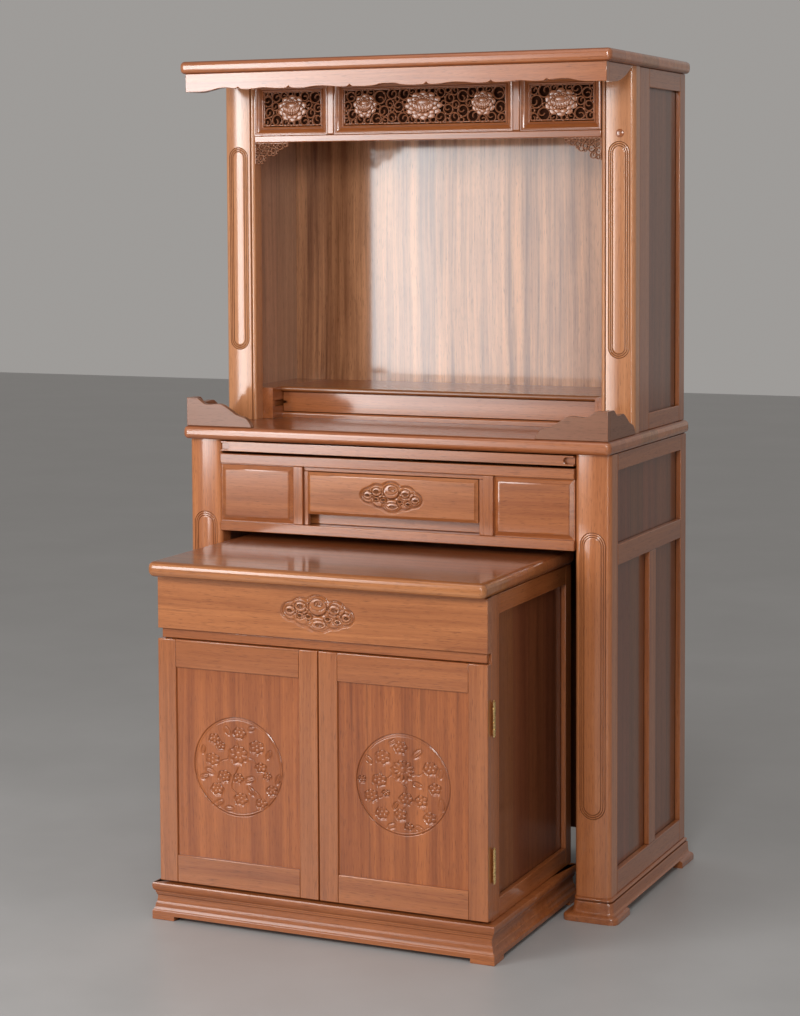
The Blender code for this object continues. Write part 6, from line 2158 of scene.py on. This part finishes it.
@dataclass
class Studio:
    """Camera, light, floor and surroundings."""

    place: Three = (2.1718, -4.8577, 1.5871)
    turn: float = 0.4227
    dip: float = 0.0661
    roll: float = -0.0043
    focal_px: float = 2308.3
    horizon_px: float = 360.0
    size: tuple[int, int] = (800, 1016)
    # The wall of light from left to right: width and radiance of each panel
    wall: tuple[Point, ...] = ((0.78, 7.0), (0.28, 5.2), (0.28, 3.7), (0.26, 1.9), (0.20, 0.8))
    wall_height: float = 2.1

    def build(self) -> None:
        """Makes everything round the object."""
        self.camera()
        self.floor()
        self.lights()
        self.surroundings()

    def camera(self) -> None:
        """The camera at the photograph's viewing angle."""
        width, height = self.size
        data = bpy.data.cameras.new("camera")
        data.sensor_width = 36.0
        data.lens = self.focal_px * data.sensor_width / max(width, height)
        data.shift_y = -(height / 2 - self.horizon_px) / max(width, height)
        made = bpy.data.objects.new("camera", data)
        made.location = self.place
        turn = (Matrix.Rotation(self.turn, 4, "Z") @ Matrix.Rotation(math.pi / 2 - self.dip, 4, "X")
                @ Matrix.Rotation(self.roll, 4, "Z"))
        made.rotation_euler = turn.to_euler()
        bpy.context.scene.collection.objects.link(made)
        bpy.context.scene.camera = made

    def floor(self) -> None:
        """A plain pale floor."""
        bm = bmesh.new()
        bmesh.ops.create_grid(bm, x_segments=1, y_segments=1, size=14.0)
        mesh = bpy.data.meshes.new("floor")
        bm.to_mesh(mesh)
        bm.free()
        paint = bpy.data.materials.new("pale_floor")
        paint.use_nodes = True
        shader = paint.node_tree.nodes["Principled BSDF"]
        w = Wiring(paint.node_tree)
        place = w.node("ShaderNodeTexCoord").outputs["Object"]
        cloud = w.noise(place, 1.6, 4.0, 0.6)
        colour = w.blend(w.remap(cloud, 0.3, 0.7), (0.40, 0.395, 0.39, 1.0), (0.47, 0.465, 0.46, 1.0))
        paint.node_tree.links.new(colour, shader.inputs["Base Color"])
        paint.node_tree.links.new(w.remap(cloud, 0.3, 0.7, 0.38, 0.46), shader.inputs["Roughness"])
        mesh.materials.append(paint)
        made = bpy.data.objects.new("floor", mesh)
        bpy.context.scene.collection.objects.link(made)

    def lights(self) -> None:
        """A soft wall of light at the front left that fades to the right, and weaker lights round it."""
        run = Vector((0.905, -0.424, 0.0))
        place = Vector((-2.31, -2.72, 1.65))
        aim = Vector((1.50, 3.20, -0.50))
        for number, (width, radiance) in enumerate(self.wall):
            middle = place + run * width / 2
            self.panel_light(f"soft_front_{number}", middle, middle + aim, (width, self.wall_height),
                             radiance)
            place = place + run * width
        self.panel_light("soft_crown", (-2.08, -2.80, 1.96), (-0.50, 0.40, 1.80), (0.62, 0.36), 3.6)
        self.panel_light("soft_above", (0.4, -1.2, 3.6), (0.0, 0.0, 1.0), (2.6, 2.2), 0.75)
        self.panel_light("soft_right", (1.3, -3.8, 2.5), (0.1, -0.2, 0.7), (1.0, 0.8), 19.0)
        self.panel_light("soft_edge", (2.3, -3.6, 1.3), (0.4, 0.0, 1.1), (0.25, 2.0), 8.0)

    def panel_light(self, name: str, place: Sequence[float], target: Sequence[float], size: Point,
                    radiance: float) -> None:
        """Adds a rectangular light of one radiance that faces a target."""
        data = bpy.data.lights.new(name, "AREA")
        data.shape = "RECTANGLE"
        data.size, data.size_y = size
        data.energy = radiance * math.pi * size[0] * size[1]
        made = bpy.data.objects.new(name, data)
        made.location = place
        made.rotation_euler = (Vector(target) - Vector(place)).to_track_quat("-Z", "Y").to_euler()
        bpy.context.scene.collection.objects.link(made)

    def surroundings(self) -> None:
        """A pale grey studio all round, and plain colour handling."""
        world = bpy.data.worlds.new("studio")
        world.use_nodes = True
        world.node_tree.nodes["Background"].inputs["Color"].default_value = (0.66, 0.635, 0.61, 1.0)
        world.node_tree.nodes["Background"].inputs["Strength"].default_value = 0.52
        bpy.context.scene.world = world
        bpy.context.scene.view_settings.view_transform = "Standard"


def dress_hidden(nodes: dict[str, bpy.types.Object]) -> None:
    """Gives their finish to the boards whose plain shape is right."""
    # The recess and the small cabinet's back take the darker copy of the wood: painted shade.
    for name, grade, grain in (("niche_back", Grade.RIBBON, Grain.ALONG_Z),
                               ("recess_back", Grade.SHADE, Grain.ALONG_Z),
                               ("recess_ceiling", Grade.SHADE, Grain.ALONG_X),
                               ("small_back", Grade.SHADE, Grain.ALONG_Z),
                               ("small_bottom", Grade.HIDDEN, Grain.ALONG_X)):
        nodes[name].material_slots[0].material = wood(grade, grain)


def main() -> None:
    """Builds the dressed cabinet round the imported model."""
    logging.basicConfig(level=logging.INFO, format="%(relativeCreated)6d ms  %(message)s")
    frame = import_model()
    brass = BrassFinish().build()
    Studio().build()
    Crown().build()
    UpperCase().build()
    Frieze().build()
    NicheBase().build()
    CornerGuards().build()
    LowerCase().build()
    Apron().build()
    SmallCase().build()
    SmallDrawer().build()
    Door(brass, "left", LEFT_MEDALLION).build()
    Door(brass, "right", RIGHT_MEDALLION).build()
    dress_hidden(frame["nodes"])


if __name__ == "__main__":
    main()
